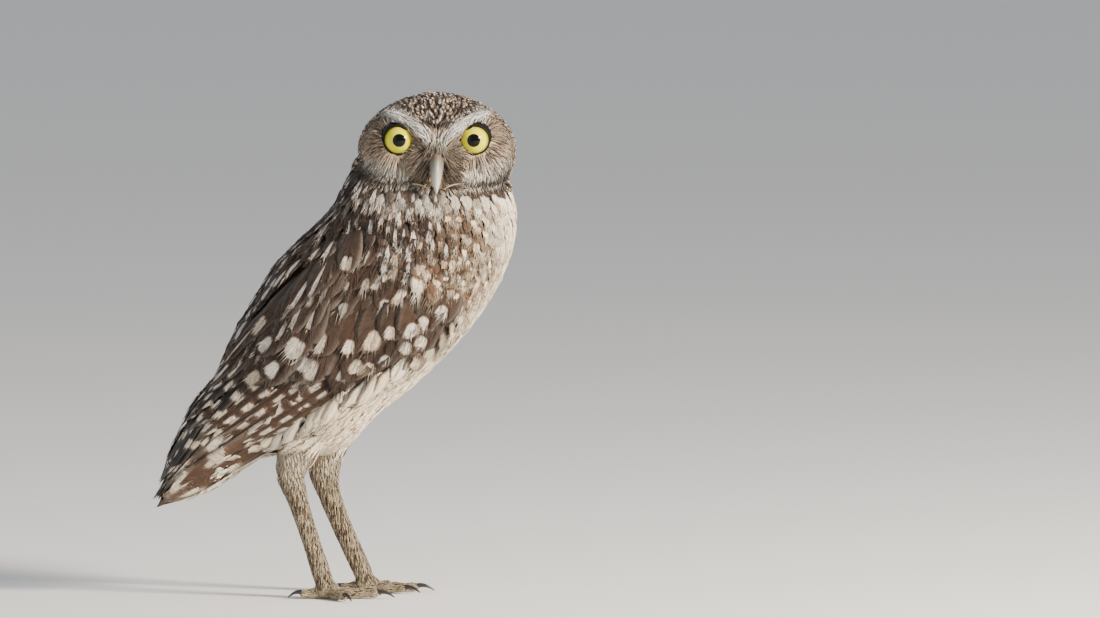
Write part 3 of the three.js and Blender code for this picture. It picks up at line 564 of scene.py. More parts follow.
def barbStrands(lines, form, roll):  # loose barbs that leave the vane's edge and soften it
    middle, normals, along = lines
    times, count, many = form["times"], len(middle), form["strands"]
    at = rng.normal(0, form["strandPlaceVary"], (count, many))
    at = np.clip(np.linspace(form["strandFrom"], 1, many) + at, 0.05, 1)
    spot = np.clip(np.searchsorted(times, at) - 1, 0, len(times) - 2)
    share = ((at - times[spot]) / (times[spot + 1] - times[spot]))[..., None]
    each = np.arange(count)[:, None]

    def between(values):
        return mix(values[each, spot], values[each, spot + 1], share)
    start = between(middle + normals * form["height"][..., None])
    normal, ahead = unit(between(normals)), unit(between(along))
    half = between(form["half"][..., None])[..., 0]
    widest = half.max(axis=1, keepdims=True)
    side = np.where((np.arange(many) + rng.integers(0, 2, (count, 1))) % 2, 1.0, -1.0)
    across = unit(np.cross(ahead, normal)) * side[..., None]
    angle = np.radians(form["strandAngle"]) * spread(form["strandTurn"], at ** 3)
    angle = angle * (1 + varyWithin(form["strandAngleVary"], at.shape))
    size = form["strandReach"] + varyWithin(form["strandReachVary"], at.shape)
    size = np.maximum(half, 0.35 * widest) * size / np.sin(np.maximum(angle, 0.3))
    size = np.minimum(size * mix(1, form["strandTip"], at ** 3), form["strandLongest"] * widest)
    steps, turns = np.array([0.25, 0.65, 1.0]), np.radians([90, 210, 330])
    bend, reach = (1 - form["strandBend"] * steps) * angle[..., None], size[..., None] * steps
    sideways, forward, broad = reach * np.sin(bend), reach * np.cos(bend), widest[..., None]
    lift = sideways * (roll[:, None] * side)[..., None] - form["camber"] * (sideways / broad) ** 2 * broad
    lift = lift + form["strandLift"] + rng.normal(0, form["strandLiftVary"], at.shape)[..., None]
    line = start[:, :, None] + across[:, :, None] * sideways[..., None]
    line = line + ahead[:, :, None] * forward[..., None] + normal[:, :, None] * lift[..., None]
    radius = form["strandThick"] * np.array([1.0, 0.75, 0.15])
    ring = np.cos(turns)[:, None] * across[:, :, None, None]
    ring = ring + np.sin(turns)[:, None] * normal[:, :, None, None]
    points = line[:, :, :, None] + ring * radius[:, None, None]
    u = 0.5 + 0.5 * np.clip(sideways / np.maximum(half, 0.3)[..., None], 0, 1) * side[..., None]
    v = np.clip(at[..., None] + forward / form["length"][:, None, None], 0, 1)
    vane = np.broadcast_to(columns(u, v)[:, :, :, None], (*points.shape[:4], 2))
    first = (np.arange(count * many) * 9)[:, None, None]
    flip = (side.reshape(-1) < 0)[:, None, None]
    faces = [np.where(flip, group[None, :, ::-1], group[None]) + first for group in tubeFaces(3, 3)]
    faces = [group.reshape(-1, group.shape[2]) for group in faces]
    return points.reshape(count, -1, 3), vane.reshape(count, -1, 2), faces


def layFeathers(name, lines, form, look, bakeAt):
    count = len(lines[0])
    form = {**vanePlan, **form, "times": np.array(form["times"], float)}
    *shell, roll = vaneShell(lines, form)
    parts = [shell]
    if form["strands"]:
        parts.append(barbStrands(lines, form, roll))
    piece = makeMesh(name, *joinParts([(points, faces) for points, _, faces in parts]))
    full = np.concatenate([vane.reshape(-1, 2) for _, vane, _ in parts])
    where = np.concatenate([points.reshape(-1, 3) for points, _, _ in parts])
    owner = np.concatenate([np.repeat(np.arange(count), points.shape[1]) for points, _, _ in parts])
    giveMap(piece, "OFBake", np.clip(bakeAt, bakePatch, 1 - bakePatch)[owner] + (full - 0.5) * bakePatch)
    giveMap(piece, "vane", full)
    size = columns(form["length"], form["half"].max(axis=1), rng.random(count))
    for key, value in {**look, "vaneSize": size}.items():
        giveColour(piece, key, value(where, owner) if callable(value) else value[owner])
    return piece


def layAlong(name, middle, normals, form, look, bakeAt):  # feathers on middle lines that are given
    along = unit(np.gradient(middle, axis=1))
    form = {**form, "height": np.zeros(middle.shape[:2])}
    return layFeathers(name, (middle, squareTo(normals, along), along), form, look, bakeAt)


flowPlan = {"neckFrom": 6.5, "neckOver": 4.5, "neckDown": 0.8, "napeFrom": 2, "napeOver": 16,
            "napeTurn": 0.75, "source": (0, 27, -3)}  # the head's feathers part at the bill
downward = np.array([0, 0, -1.0])


def bodyFlow(points):  # the lie of the body's feathers: down at the neck, towards the tail behind it
    p, (place, _) = flowPlan, bodyPlace(points)
    ahead, behind = sectionAt(place + 0.1)[0], sectionAt(place - 0.1)[0]
    centre = (behind[:, [0, 1]] + behind[:, [2, 3]] - ahead[:, [0, 1]] - ahead[:, [2, 3]]) / 2
    down = p["neckDown"] * smooth((place - p["neckFrom"]) / p["neckOver"])[:, None]
    return unit(unit(columns(centre[:, 0], 0.0, centre[:, 1])) * (1 - down) + downward * down)


def headFlow(points):  # away from the bill over crown and cheeks, down at the nape
    p = flowPlan
    behind = smooth((points[:, 1] - headCentre[1] - p["napeFrom"]) / p["napeOver"])[:, None]
    return unit(unit(points - fromHead(*p["source"])) * (1 - p["napeTurn"] * behind) + downward * behind)


# Paints

def feed(tree, socket, value):  # a number, a colour or another node's output
    if isinstance(value, bpy.types.NodeSocket):
        tree.links.new(value, socket)
    elif isinstance(value, (int, float)):
        socket.default_value = value
    else:
        socket.default_value = (*[float(v) for v in value], 1)


def addNode(tree, kind, inputs, output=0, **settings):
    node = tree.nodes.new("ShaderNode" + kind)
    for key, value in settings.items():
        setattr(node, key, value)
    for socket, value in inputs.items():
        feed(tree, node.inputs[socket], value)
    return node.outputs[output]


def mathNode(tree, kind, *values):
    return addNode(tree, "Math", dict(enumerate(values)), operation=kind)


def mixColour(tree, share, a, b, kind="MIX"):
    return addNode(tree, "Mix", {0: share, 6: a, 7: b}, 2, data_type="RGBA", blend_type=kind)


def ramp(tree, value, low, high):  # 0 below low, 1 above high, soft between
    return addNode(tree, "MapRange", {0: value, 1: low, 2: high}, interpolation_type="SMOOTHSTEP")


def newPaint(name, roughness, sheen=0.0, coat=0.0, specular=0.35, colour=None):
    material = bpy.data.materials.new(name)
    material.use_nodes = True
    tree = material.node_tree
    shader = tree.nodes["Principled BSDF"]
    for socket, value in (("Roughness", roughness), ("Sheen Weight", sheen), ("Coat Weight", coat),
                          ("Coat Roughness", 0.04), ("Specular IOR Level", specular), ("Base Color", colour)):
        if value is not None:
            feed(tree, shader.inputs[socket], value)
    return material, tree, shader


def noise(tree, vector, scale, detail=2.0, rough=0.5):
    inputs = {"Vector": vector, "Scale": scale, "Detail": detail, "Roughness": rough}
    return addNode(tree, "TexNoise", inputs, "Fac")


def addBump(tree, shader, height, strength, distance):
    inputs = {"Strength": strength, "Distance": distance * mm, "Height": height}
    feed(tree, shader.inputs["Normal"], addNode(tree, "Bump", inputs))


def joinNumbers(tree, *values):
    return addNode(tree, "CombineXYZ", dict(enumerate(values)))


def splitNumbers(tree, source):
    return addNode(tree, "SeparateXYZ", {0: source}).node.outputs


def attribute(tree, name, kind="Vector"):
    return addNode(tree, "Attribute", {}, kind, attribute_name=name)


featherPaint = {"roughness": 0.68, "sheen": 0.1, "specular": 0.22,
                "barbs": 2.3, "slant": 1.1, "dark": 0.62, "light": 1.3,
                "edgeGlow": 0.28, "rootDark": 0.42, "calm": 0.7, "spotSquare": 3.8, "spotWobble": 2.4,
                "secondSpotFrom": 0.88, "spotRim": 0.6, "barRim": 0.35, "rimTint": (1.0, 0.82, 0.62),
                "barLean": 0.15, "barWobble": 0.22, "shaftDark": 0.35, "bump": 0.6, "bumpDepth": 0.3,
                "barEdges": ((0.85, 1.1), (1.0, 1.7)), "spotEdges": ((0.7, 1.15), (0.9, 2.1)),  # core and rim
                "barbRange": (0.3, 0.7), "edgeRange": (0.45, 1.0), "tipRange": (0.84, 1.0),
                "paleRange": (0.15, 0.6), "rootRange": (0.0, 0.6), "shaftRange": (0.1, 0.3),
                "webOver": 0.14, "patches": (0.9, 0.55), "secondSize": 0.75, "narrowest": 0.12}


def makeFeatherPaint(name, bars=False):  # markings are drawn from each feather's own numbers
    p = featherPaint
    material, tree, shader = newPaint(name, p["roughness"], p["sheen"], specular=p["specular"])
    make = partial(mathNode, tree)

    def less(value):  # what is missing from one
        return make("SUBTRACT", 1.0, value)
    u, v, _ = splitNumbers(tree, addNode(tree, "UVMap", {}, uv_map="vane"))
    length, half, chance = splitNumbers(tree, attribute(tree, "vaneSize"))
    signed = make("MULTIPLY_ADD", u, 2.0, -1.0)
    side = make("ABSOLUTE", signed)
    alongMm, sideMm = make("MULTIPLY", v, length), make("MULTIPLY", side, half)
    barb = make("SUBTRACT", alongMm, make("MULTIPLY", sideMm, p["slant"]))
    shift = make("MULTIPLY", chance, 57.0)
    fine = joinNumbers(tree, make("MULTIPLY", barb, p["barbs"]), make("MULTIPLY_ADD", signed, 1.5, shift),
                       make("MULTIPLY", sideMm, 0.3))
    fine = ramp(tree, noise(tree, fine, 1.0, 3.0, 0.65), *p["barbRange"])
    broad = joinNumbers(tree, make("MULTIPLY", alongMm, 0.3), make("MULTIPLY_ADD", signed, 0.8, shift), shift)
    broad = noise(tree, broad, 1.0, 2.0)
    wobble = make("MULTIPLY_ADD", fine, 0.5, -0.25)
    place, longHalf, wideHalf = splitNumbers(tree, attribute(tree, "spotPlace"))
    off, fringe, taper = splitNumbers(tree, attribute(tree, "spotMore"))
    if bars:  # here the numbers are the bars' period in mm, their share of it and their phase
        fromTip = make("SUBTRACT", make("MULTIPLY_ADD", sideMm, -p["barLean"], alongMm), length)
        turns = make("ADD", make("DIVIDE", fromTip, place), wideHalf)
        turns = make("ADD", turns, make("MULTIPLY", wobble, p["barWobble"]))
        part = make("ABSOLUTE", make("SUBTRACT", make("FRACT", turns), 0.5))
        reach = make("DIVIDE", part, make("MULTIPLY", longHalf, 0.5))
        web = ramp(tree, side, off, make("ADD", off, p["webOver"]))
        core, rim = (make("MULTIPLY", less(ramp(tree, reach, *edge)), web) for edge in p["barEdges"])
    else:
        dv = make("DIVIDE", make("SUBTRACT", v, place), longHalf)
        wide = make("MAXIMUM", make("MULTIPLY_ADD", taper, dv, 1.0), p["narrowest"])
        wide = make("MULTIPLY", wideHalf, wide)
        both = []
        for sign, size in ((1.0, 1.0), (-1.0, p["secondSize"])):  # some carry a second spot across the shaft
            du = make("SUBTRACT", signed, make("MULTIPLY", off, sign))
            du = make("DIVIDE", du, make("MULTIPLY", wide, size))
            reach = make("ADD", *(make("POWER", make("ABSOLUTE", d), p["spotSquare"]) for d in (dv, du)))
            both.append(make("ADD", reach, make("MULTIPLY", wobble, p["spotWobble"])))
        single = make("MULTIPLY", make("LESS_THAN", chance, p["secondSpotFrom"]), 9.0)
        reach = make("MINIMUM", both[0], make("ADD", both[1], single))
        core, rim = (less(ramp(tree, reach, *edge)) for edge in p["spotEdges"])
    ground, mark = attribute(tree, "ground", "Color"), attribute(tree, "mark", "Color")
    glow = make("MULTIPLY", ramp(tree, side, *p["edgeRange"]), p["edgeGlow"])
    colour = mixColour(tree, glow, ground, mixColour(tree, 0.28, ground, mark))
    warm = mixColour(tree, 1.0, mixColour(tree, 0.5, ground, mark), p["rimTint"], "MULTIPLY")
    colour = mixColour(tree, make("MULTIPLY", rim, p["barRim" if bars else "spotRim"]), colour, warm)
    colour = mixColour(tree, core, colour, mark)
    tip = make("ADD", v, make("MULTIPLY", wobble, 0.3))
    tipPale = make("MULTIPLY", ramp(tree, tip, *p["tipRange"]), fringe)
    colour = mixColour(tree, tipPale, colour, mark)
    pale = ramp(tree, addNode(tree, "RGBToBW", {0: ground}), *p["paleRange"])
    light = make("MULTIPLY_ADD", fine, p["light"] - p["dark"], p["dark"])
    light = make("MULTIPLY", light, make("MULTIPLY_ADD", broad, *p["patches"]))
    calm = less(make("MULTIPLY", pale, p["calm"]))  # pale feathers show less of the barbs
    light = make("MULTIPLY_ADD", make("SUBTRACT", light, 1.0), calm, 1.0)
    fade = make("MULTIPLY", less(pale), p["rootDark"])
    fade = make("MULTIPLY", fade, less(ramp(tree, v, *p["rootRange"])))
    light = make("MULTIPLY", light, less(fade))
    shaft = less(ramp(tree, sideMm, *p["shaftRange"]))
    light = make("MULTIPLY", light, make("MULTIPLY_ADD", shaft, -p["shaftDark"], 1.0))
    colour = mixColour(tree, 1.0, colour, joinNumbers(tree, light, light, light), "MULTIPLY")
    feed(tree, shader.inputs["Base Color"], colour)
    addBump(tree, shader, make("ADD", fine, make("MULTIPLY", shaft, 0.8)), p["bump"], p["bumpDepth"])
    return material


spotPaint = makeFeatherPaint("spottedFeather")
barPaint = makeFeatherPaint("barredFeather", bars=True)


def wear(piece, material, nodes=()):
    piece.data.materials.clear()
    piece.data.materials.append(material)
    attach(piece, "root")
    if nodes:
        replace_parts(piece, *nodes)
    return piece


def vary(colour, count, amount=0.12, warm=0.04):  # one colour for each feather, a little apart
    light = 1 + rng.normal(0, amount, (count, 1))
    tint = 1 + rng.normal(0, warm, (count, 1)) * np.array([1.0, 0.0, -1.0])
    return np.clip(np.asarray(colour) * light * tint, 0.002, 0.95)


def unwrapAt(place, degrees):
    return columns((degrees + 180) / 360, (place + 1) / 15)


def bodyUnwrap(points):
    return unwrapAt(*bodyPlace(points))


def headUnwrap(points):
    x, forward, up = headLocal(points)
    return columns(np.arctan2(x, -forward) / (2 * np.pi) + 0.5, np.clip(up / 56 + 0.45, 0, 1))


skinSurface = skinReader(skin)
print("paints and surfaces ready")

# Contour feathers of neck, breast, back and belly
contour = {"times": np.array([0, 0.25, 0.5, 0.7, 0.87, 1]), "columns": 5, "thick": 0.1, "camber": 0.15,
           "strands": 10, "wobble": 5, "ragged": 0.07, "fray": 0.03, "arrow": 0.1}
coatPlay = {"length": 0.1, "way": 0.1, "height": 0.06, "sunk": 0.25, "rootSunk": 0.3}  # how feathers differ


def layContour(name, spacing, length, width, wanted, colours, slot="plumage_brown", low=0.25, flow=bodyFlow,
               unwrap=bodyUnwrap, height=None, extra=None):
    roots = scatterRoots(skinSurface, spacing, wanted)
    count, times, play = len(roots), contour["times"], coatPlay
    place, degrees = bodyPlace(roots)
    size = length * (1 + rng.normal(0, play["length"], count))
    way = unit(flow(roots) + rng.normal(0, play["way"], (count, 3)))
    lines = walkOver(skinSurface, roots, way, size, times, flow)
    full = trunkDepth(place, degrees) - play["sunk"] if height is None else height(roots)
    raised = (full * (1 + rng.normal(0, play["height"], count)))[:, None]
    form = {**contour, "length": size,
            "height": raised * mix(low, 1, smooth(times * 1.5)) - play["rootSunk"] * (times == 0),
            "half": (width / 2 * size / length)[:, None] * vaneHalf(times, 0.6, 0.4, 1.8), **(extra or {})}
    piece = layFeathers(name, lines, form, colours(roots, place, degrees), unwrap(roots))
    wear(piece, spotPaint)
    print(name, count, "feathers")


# Colours of the plumage, as a screen shows them
plumage = {
    "mantle": paint(61, 46, 36), "mantleMark": paint(226, 218, 210), "wing": paint(60, 44, 33),
    "wingMark": paint(232, 216, 194), "flight": paint(72, 51, 37), "flightMark": paint(206, 192, 174),
    "inner": paint(34, 29, 27), "breast": paint(92, 67, 49), "breastMark": paint(240, 224, 200),
    "belly": paint(236, 220, 194), "bellyMark": paint(150, 104, 66), "throat": paint(244, 234, 216),
    "leg": paint(216, 196, 162), "legMark": paint(104, 78, 56), "crown": paint(66, 48, 36),
    "crownMark": paint(220, 198, 170), "disc": paint(204, 178, 150), "discDark": paint(104, 78, 58),
    # collar is also the colour of the painted shade along the mouth line
    "brow": paint(240, 234, 226), "collar": paint(44, 33, 26), "lore": paint(74, 62, 48),
}
bodyZones = {"breastFrom": 8.5, "breastOver": 1.0,  # section numbers, then degrees from the back
             "backTo": 78, "neckTo": 100, "backSoft": 16, "paleFront": 122,
             "chin": {"height": 167, "width": 1.5, "share": 0.5},  # millimetres above the floor
             "throat": {"x": 58, "z": 148, "soft": 8, "share": 0.75},
             "collar": {"x": 9, "z": 171, "radius": 6}}
bodyMarks = {"backShare": 0.6, "breastShare": (0.85, 0.6), "bellyShare": 0.02,
             "backSpot": (0.64, 0.3, 0.26), "breastSpot": (0.78, 0.19, 0.7),  # place, half length, half width
             "sizes": (0.7, 0.6), "clearOnBreast": (0.25, 0.7), "clearElse": (0.6, 0.4),
             "off": 0.3, "fringe": (0.6, 0.1), "taper": (0.7, 0.2),
             "mixing": (0.3, 8), "vary": (0.12, 0.05)}  # mixing of the zones in section numbers and degrees
unmarked = (-3.0, 0.1, 0.3)  # a spot that lies off the feather


def breastShare(place):
    return smooth((place - bodyZones["breastFrom"]) / bodyZones["breastOver"])


def backShare(place, degrees):
    edge = mix(bodyZones["backTo"], bodyZones["neckTo"], smooth((place - 10) / 2))
    return 1 - smooth((np.abs(degrees) - edge) / bodyZones["backSoft"] + 0.5)


def groundAt(place, degrees):
    pale = 0.55 * smooth((np.abs(degrees) - bodyZones["paleFront"]) / 40)[..., None]
    breast = mix(plumage["breast"], plumage["belly"], pale)
    colour = mix(plumage["belly"], breast, breastShare(place)[..., None])
    return mix(colour, plumage["mantle"], backShare(place, degrees)[..., None])


def bodyLook(roots, place, degrees):
    m, count = bodyMarks, len(roots)
    jitter = rng.normal(0, 1, (2, count))
    p, d = place + m["mixing"][0] * jitter[0], degrees + m["mixing"][1] * jitter[1]
    back, breast = backShare(p, d) > 0.5, breastShare(p) > 0.5
    belly, brown = ~back & ~breast, breast & ~back
    ground = vary(groundAt(p, d), count, m["vary"][0])
    ground[belly] = vary(groundAt(place, degrees), count, m["vary"][1])[belly]
    mark = np.where(back[:, None], plumage["mantleMark"], plumage["breastMark"])
    mark = np.where(belly[:, None], plumage["bellyMark"], mark)
    one, chance = rng.random(count), rng.random(count)
    onBreast = mix(*m["breastShare"], smooth((p - 10) / 1.2))
    marked = chance < np.where(back, m["backShare"], np.where(brown, onBreast, m["bellyShare"]))
    scale = spread(m["sizes"], one)
    spot = np.where(back[:, None], m["backSpot"], m["breastSpot"]) * columns(1, scale, scale)
    spot[~marked, 0] = unmarked[0]
    fringe = np.where(brown, *m["fringe"]) * rng.random(count)
    more = columns(np.where(brown & (one > 0.5), m["off"], 0), fringe, np.where(back, *m["taper"]))
    clear = [spread(m[key], rng.random((count, 1))) for key in ("clearOnBreast", "clearElse")]
    clear = np.where(brown[:, None], *clear)
    mark = mix(ground, mark, clear)
    chin, throat, collar = (bodyZones[key] for key in ("chin", "throat", "collar"))
    x, y, z = roots.T
    cream = near(z, chin["height"], chin["width"]) * smooth((-y - 4) / 6) * chin["share"]
    side = smooth((x - throat["x"]) / throat["soft"]) * smooth((z - throat["z"]) / throat["soft"])
    cream = np.maximum(cream, side * throat["share"])
    dark = near(np.hypot(x - collar["x"], z - collar["z"]), 0, collar["radius"]) * smooth(-y / 4)
    ground = mix(mix(ground, plumage["throat"], cream[:, None]), plumage["collar"], dark[:, None])
    return {"ground": ground, "mark": vary(mark, count, 0.07), "spotPlace": spot, "spotMore": more}


def legShare(points):  # 1 where the skin belongs to a thigh or shank
    nearest = np.full(len(points), 1e9)
    for part in (leg[key] for leg in legPlan.values() for key in ("thigh", "shank")):
        spots = limbSpots(part, 14)
        distance = np.linalg.norm(points[:, None] - spots[None, :, :3], axis=-1) - spots[None, :, 3]
        nearest = np.minimum(nearest, distance.min(axis=1))
    return ((nearest < 1.2) & (points[:, 2] < 68)).astype(float)


def onTrunk(points):  # skin that belongs to the trunk, clear of the head and legs
    place, degrees = bodyPlace(points)
    depth = np.linalg.norm(points - bodySurface(place, degrees), axis=-1)
    return (depth < 9) & (headShare(points) > 1.02) & (legShare(points) < 0.5) & (place > 1.4)


def region(test):
    def wanted(points):
        place, degrees = bodyPlace(points)
        under = insideWing(place, degrees) > 0.75
        return (onTrunk(points) & ~under & test(place, np.abs(degrees))).astype(float)
    return wanted


soft = {"columns": 5, "strands": 14}
coatPlan = {
    "mantleFeathers": {"spacing": 3.9, "length": 15, "width": 7},
    "neckFeathers": {"spacing": 2.6, "length": 9.5, "width": 5,
                     "extra": {**soft, "thick": 0.06, "ragged": 0.14, "fray": 0.05}},
    "breastFeathers": {"spacing": 3.4, "length": 12, "width": 6.8, "extra": soft},
    "bellyFeathers": {"spacing": 2.5, "length": 15, "width": 5, "low": 0.7,
                      "extra": {"columns": 3, "strandAngle": 16, "strandReach": 0.9, "thick": 0.06,
                                "ragged": 0.12, "fray": 0.05}},
    "rumpFeathers": {"spacing": 3.8, "length": 15, "width": 6, "extra": {"strandAngle": 22}},
}
coatAreas = {  # where each grows, by section number and degrees from the back
    "mantleFeathers": lambda p, d: (d < 92) & (p > 5.2) & (p < 10.9),
    "neckFeathers": lambda p, d: p > 10.5,
    "breastFeathers": lambda p, d: (d >= 88) & (p > 8.3) & (p < 10.9),
    "bellyFeathers": lambda p, d: (d >= 88) & (p <= 8.5) & (p > 3.4),
    "rumpFeathers": lambda p, d: (p > 2.9) & (((d < 92) & (p <= 5.4)) | ((d >= 88) & (p <= 3.8))),
}
for name, plan in coatPlan.items():
    layContour(name, **plan, wanted=region(coatAreas[name]), colours=bodyLook)


# Wings: rows of feathers seen from the side, as x and z of roots and tips from front to rear
wingLook = {"times": np.array([0, 0.14, 0.3, 0.46, 0.6, 0.72, 0.82, 0.9, 0.96, 1]), "columns": 7,
            "strands": 20, "roll": 4, "vane": {
                "camber": 0.08, "wobble": 2, "ragged": 0.03, "fray": 0.014, "arrow": 0.05, "strandTip": 0.3,
                "strandFrom": 0.45, "strandReach": 1.05, "strandThick": 0.16},
            "layer": 0.3, "uneven": 0.12, "widthVary": 0.04, "widest": 0.55, "root": 0.3,
            "loose": {"bars": 0.6, "spots": 1.6}}  # how far the tips stray from their line
featherRows = {
    "primaries": {
        "count": 3, "roots": [(27, 97.5), (16, 105)], "tips": [(-73, 36.5), (-71.5, 41), (-68, 49)],
        "width": 15, "depth": (3.4, 1.0), "thick": 0.2, "roll": 0, "point": 2.6, "lean": 0.25,
        "bars": (19, 0.36, 0.16), "strands": 0, "lowestOnTop": True},
    "innerFeathers": {
        "count": 5, "roots": [(-30, 98), (-47, 95)], "tips": [(-66, 50), (-73, 47)], "width": 12,
        "depth": (3.4, 1.0), "thick": 0.2, "point": 2, "inner": 1, "bars": (13, 0.3, 0.42), "strands": 0},
    "secondaries": {
        "count": 7, "roots": [(26, 100), (-26, 107)], "tips": [(-38, 62.5), (-54, 62.5), (-62, 71)],
        "width": 10, "depth": (3.0, 0.5), "thick": 0.2, "point": 2, "lean": 0.3, "bars": (9.2, 0.5, 0.14),
        "strands": 0},
    "tertials": {
        "count": 4, "roots": [(-24, 112), (-41, 103)], "tips": [(-56, 72), (-64, 79)], "width": 12,
        "depth": (3, 0.2), "thick": 0.22, "point": 2, "bars": (12, 0.36, 0.4), "inner": 1},
    "greaterCoverts": {
        "count": 10, "roots": [(46, 118), (-18, 112)], "tips": [(35, 101), (2, 88), (-40, 90)],
        "width": 14, "depth": (2.9, 0.5), "thick": 0.2, "point": 2.4},
    "medianCoverts": {
        "count": 9, "roots": [(53, 132), (-12, 123)], "tips": [(44, 115), (12, 102), (-30, 102)],
        "width": 14, "depth": (2.6, 0.3), "thick": 0.18, "point": 2.4},
    "lesserCovertsLow": {
        "count": 11, "roots": [(53, 141), (0, 136)], "tips": [(47, 127), (20, 118), (-14, 115)],
        "width": 11, "depth": (3.4, 1.9), "thick": 0.16, "point": 2.2},
    "lesserCovertsMiddle": {
        "count": 11, "roots": [(53, 149), (7, 146)], "tips": [(50, 136), (24, 129), (-2, 127)],
        "width": 9.5, "depth": (3.2, 1.9), "thick": 0.16, "point": 2.2},
    "lesserCovertsHigh": {
        "count": 10, "roots": [(53, 156), (16, 155)], "tips": [(51, 144), (30, 140), (8, 138)],
        "width": 9, "depth": (3.0, 1.8), "thick": 0.16, "roll": 3, "point": 2.2},
    "scapularsLow": {
        "count": 9, "roots": [(4, 148), (-28, 118)], "tips": [(-6, 122), (-28, 104), (-53, 83)],
        "width": 12, "depth": (2.8, 0.9), "thick": 0.2, "roll": 3, "point": 1.9},
    "scapularsHigh": {
        "count": 9, "roots": [(8, 156), (-25, 126)], "tips": [(-1, 134), (-22, 116), (-47, 96)],
        "width": 11, "depth": (2.6, 1.1), "thick": 0.18, "roll": 3, "point": 1.9},
}
# bigShare: how many carry a broad spot; halfLong: its half length as a share of the feather's
covertSpots = {"bigShare": {"greaterCoverts": 1, "medianCoverts": 0.95, "other": 0.8},
               "halfLong": {"greaterCoverts": 0.085, "medianCoverts": 0.11, "other": 0.14},
               "dimmest": {"greaterCoverts": 0.6, "medianCoverts": 0.55, "other": 0.35},
               "place": (0.8, 0.04), "longer": 0.05, "halfWide": (0.32, 0.16), "small": (0.08, 0.22),
               "off": 0.2, "streakShare": 0.72, "streak": (0.68, 0.3, 0.15), "dot": (0.76, 0.12, 0.26)}


def alongLine(spots, share):
    x, z = np.array(spots, float).T
    at = np.linspace(0, 1, len(spots))
    return columns(np.interp(share, at, x) + shiftX, np.interp(share, at, z))


def barredLook(count, bars, inner):  # bars: period in mm, their share of it, where on the vane they start
    ground = mix(plumage["flight"], plumage["inner"], np.broadcast_to(inner, count)[:, None])
    period, share, off = bars
    place = columns(period * (1 + rng.normal(0, 0.03, count)), share, 0.2 + rng.normal(0, 0.07, count))
    return {"ground": vary(ground, count, 0.07), "mark": vary(plumage["flightMark"], count, 0.08),
            "spotPlace": place, "spotMore": np.tile((off, 0.2, 0), (count, 1))}


def covertLook(count, row):
    p, scapular = covertSpots, row.startswith("scapular")
    keys = ("bigShare", "halfLong", "dimmest")
    bigShare, halfLong, dimmest = (p[key].get(row, p[key]["other"]) for key in keys)
    one, two = rng.random(count), rng.random(count)
    big = two < bigShare
    place = columns(spread(p["place"], rng.normal(0, 1, count)),
                    np.where(big, halfLong + p["longer"] * one, p["small"][0]),
                    np.where(big, spread(p["halfWide"], one), p["small"][1]))
    more = columns(p["off"] * (0.3 + one) * np.where(rng.random(count) < 0.5, -1, 1), 0.15 * one,
                   np.where(big, 0.3, 0.0))
    if scapular:
        streak = (one < p["streakShare"])[:, None]
        place = np.where(streak, p["streak"], p["dot"])
        more = np.where(streak, (0.0, 0.05, 0.75), more)
    mark = mix(plumage["wingMark"], plumage["mantleMark"], rng.random((count, 1)))
    mark = mark * mix(dimmest, 1, rng.random((count, 1)))
    ground = vary(plumage["mantle" if scapular else "wing"], count, 0.14)
    return {"ground": ground, "mark": vary(mark, count, 0.05), "spotPlace": place, "spotMore": more}


def layRow(key, side):
    p, row, bars = wingLook, featherRows[key], featherRows[key].get("bars")
    count, times = row["count"], p["times"]
    share = np.linspace(0, 1, count)
    roots, tips = alongLine(row["roots"], share), alongLine(row["tips"], share)
    tips += rng.normal(0, p["loose"]["bars" if bars else "spots"], tips.shape)
    spots = mix(roots[:, None], tips[:, None], times[None, :, None])
    place, degrees = fromSide(spots[..., 0], spots[..., 1])
    depth = mix(*row["depth"], smooth(times * 1.1)) + rng.normal(0, p["uneven"], (count, 1))
    if bars:  # each lies over the next one, from one side of the row to the other
        over = np.linspace(p["layer"], -p["layer"], count) * (-1 if row.get("lowestOnTop") else 1)
    else:
        over = rng.normal(0, p["uneven"], count)
    middle = onBody(place, degrees * side, depth + over[:, None])
    half = row["width"] / 2 * (1 + rng.normal(0, p["widthVary"], (count, 1)))
    half = half * vaneHalf(times, p["widest"], p["root"], row["point"])
    form = {**p["vane"], "times": times, "columns": p["columns"], "thick": row["thick"],
            "length": np.linalg.norm(tips - roots, axis=-1), "half": half,
            "roll": row.get("roll", p["roll"]) * side, "lean": -row.get("lean", 0) * side,
            "strands": row.get("strands", p["strands"])}
    if bars:
        look = barredLook(count, bars, mix(0.3 * share, 1, row.get("inner", 0)))
    else:
        look = covertLook(count, key)
    name = key + ("Right" if side < 0 else "Left")
    piece = layAlong(name, middle, bodyNormal(place, degrees * side), form, look,
                     unwrapAt(place[:, 0], degrees[:, 0] * side))
    return wear(piece, barPaint if bars else spotPaint)


for side, name in ((-1, "wing_right"), (1, "wing_left")):
    for key in featherRows:
        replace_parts(layRow(key, side), name)
print("wings laid")


# Tail: six pairs, the middle pair uppermost
tailPlan = {
    "pairs": 6, "root": 4.9, "tip": 0, "shorter": 0.09,  # section numbers
    "rootAngle": (2, 12), "tipAngle": (4, 64), "width": 14, "depth": (5.6, 0.3), "layer": 0.5,
    "bars": (15, 0.26, 0.45), "inner": 0.9, "mark": 0.6,
    "vane": {"thick": 0.25, "camber": 0.08, "wobble": 1.5, "ragged": 0.012, "fray": 0.006, "arrow": 0.03},
}


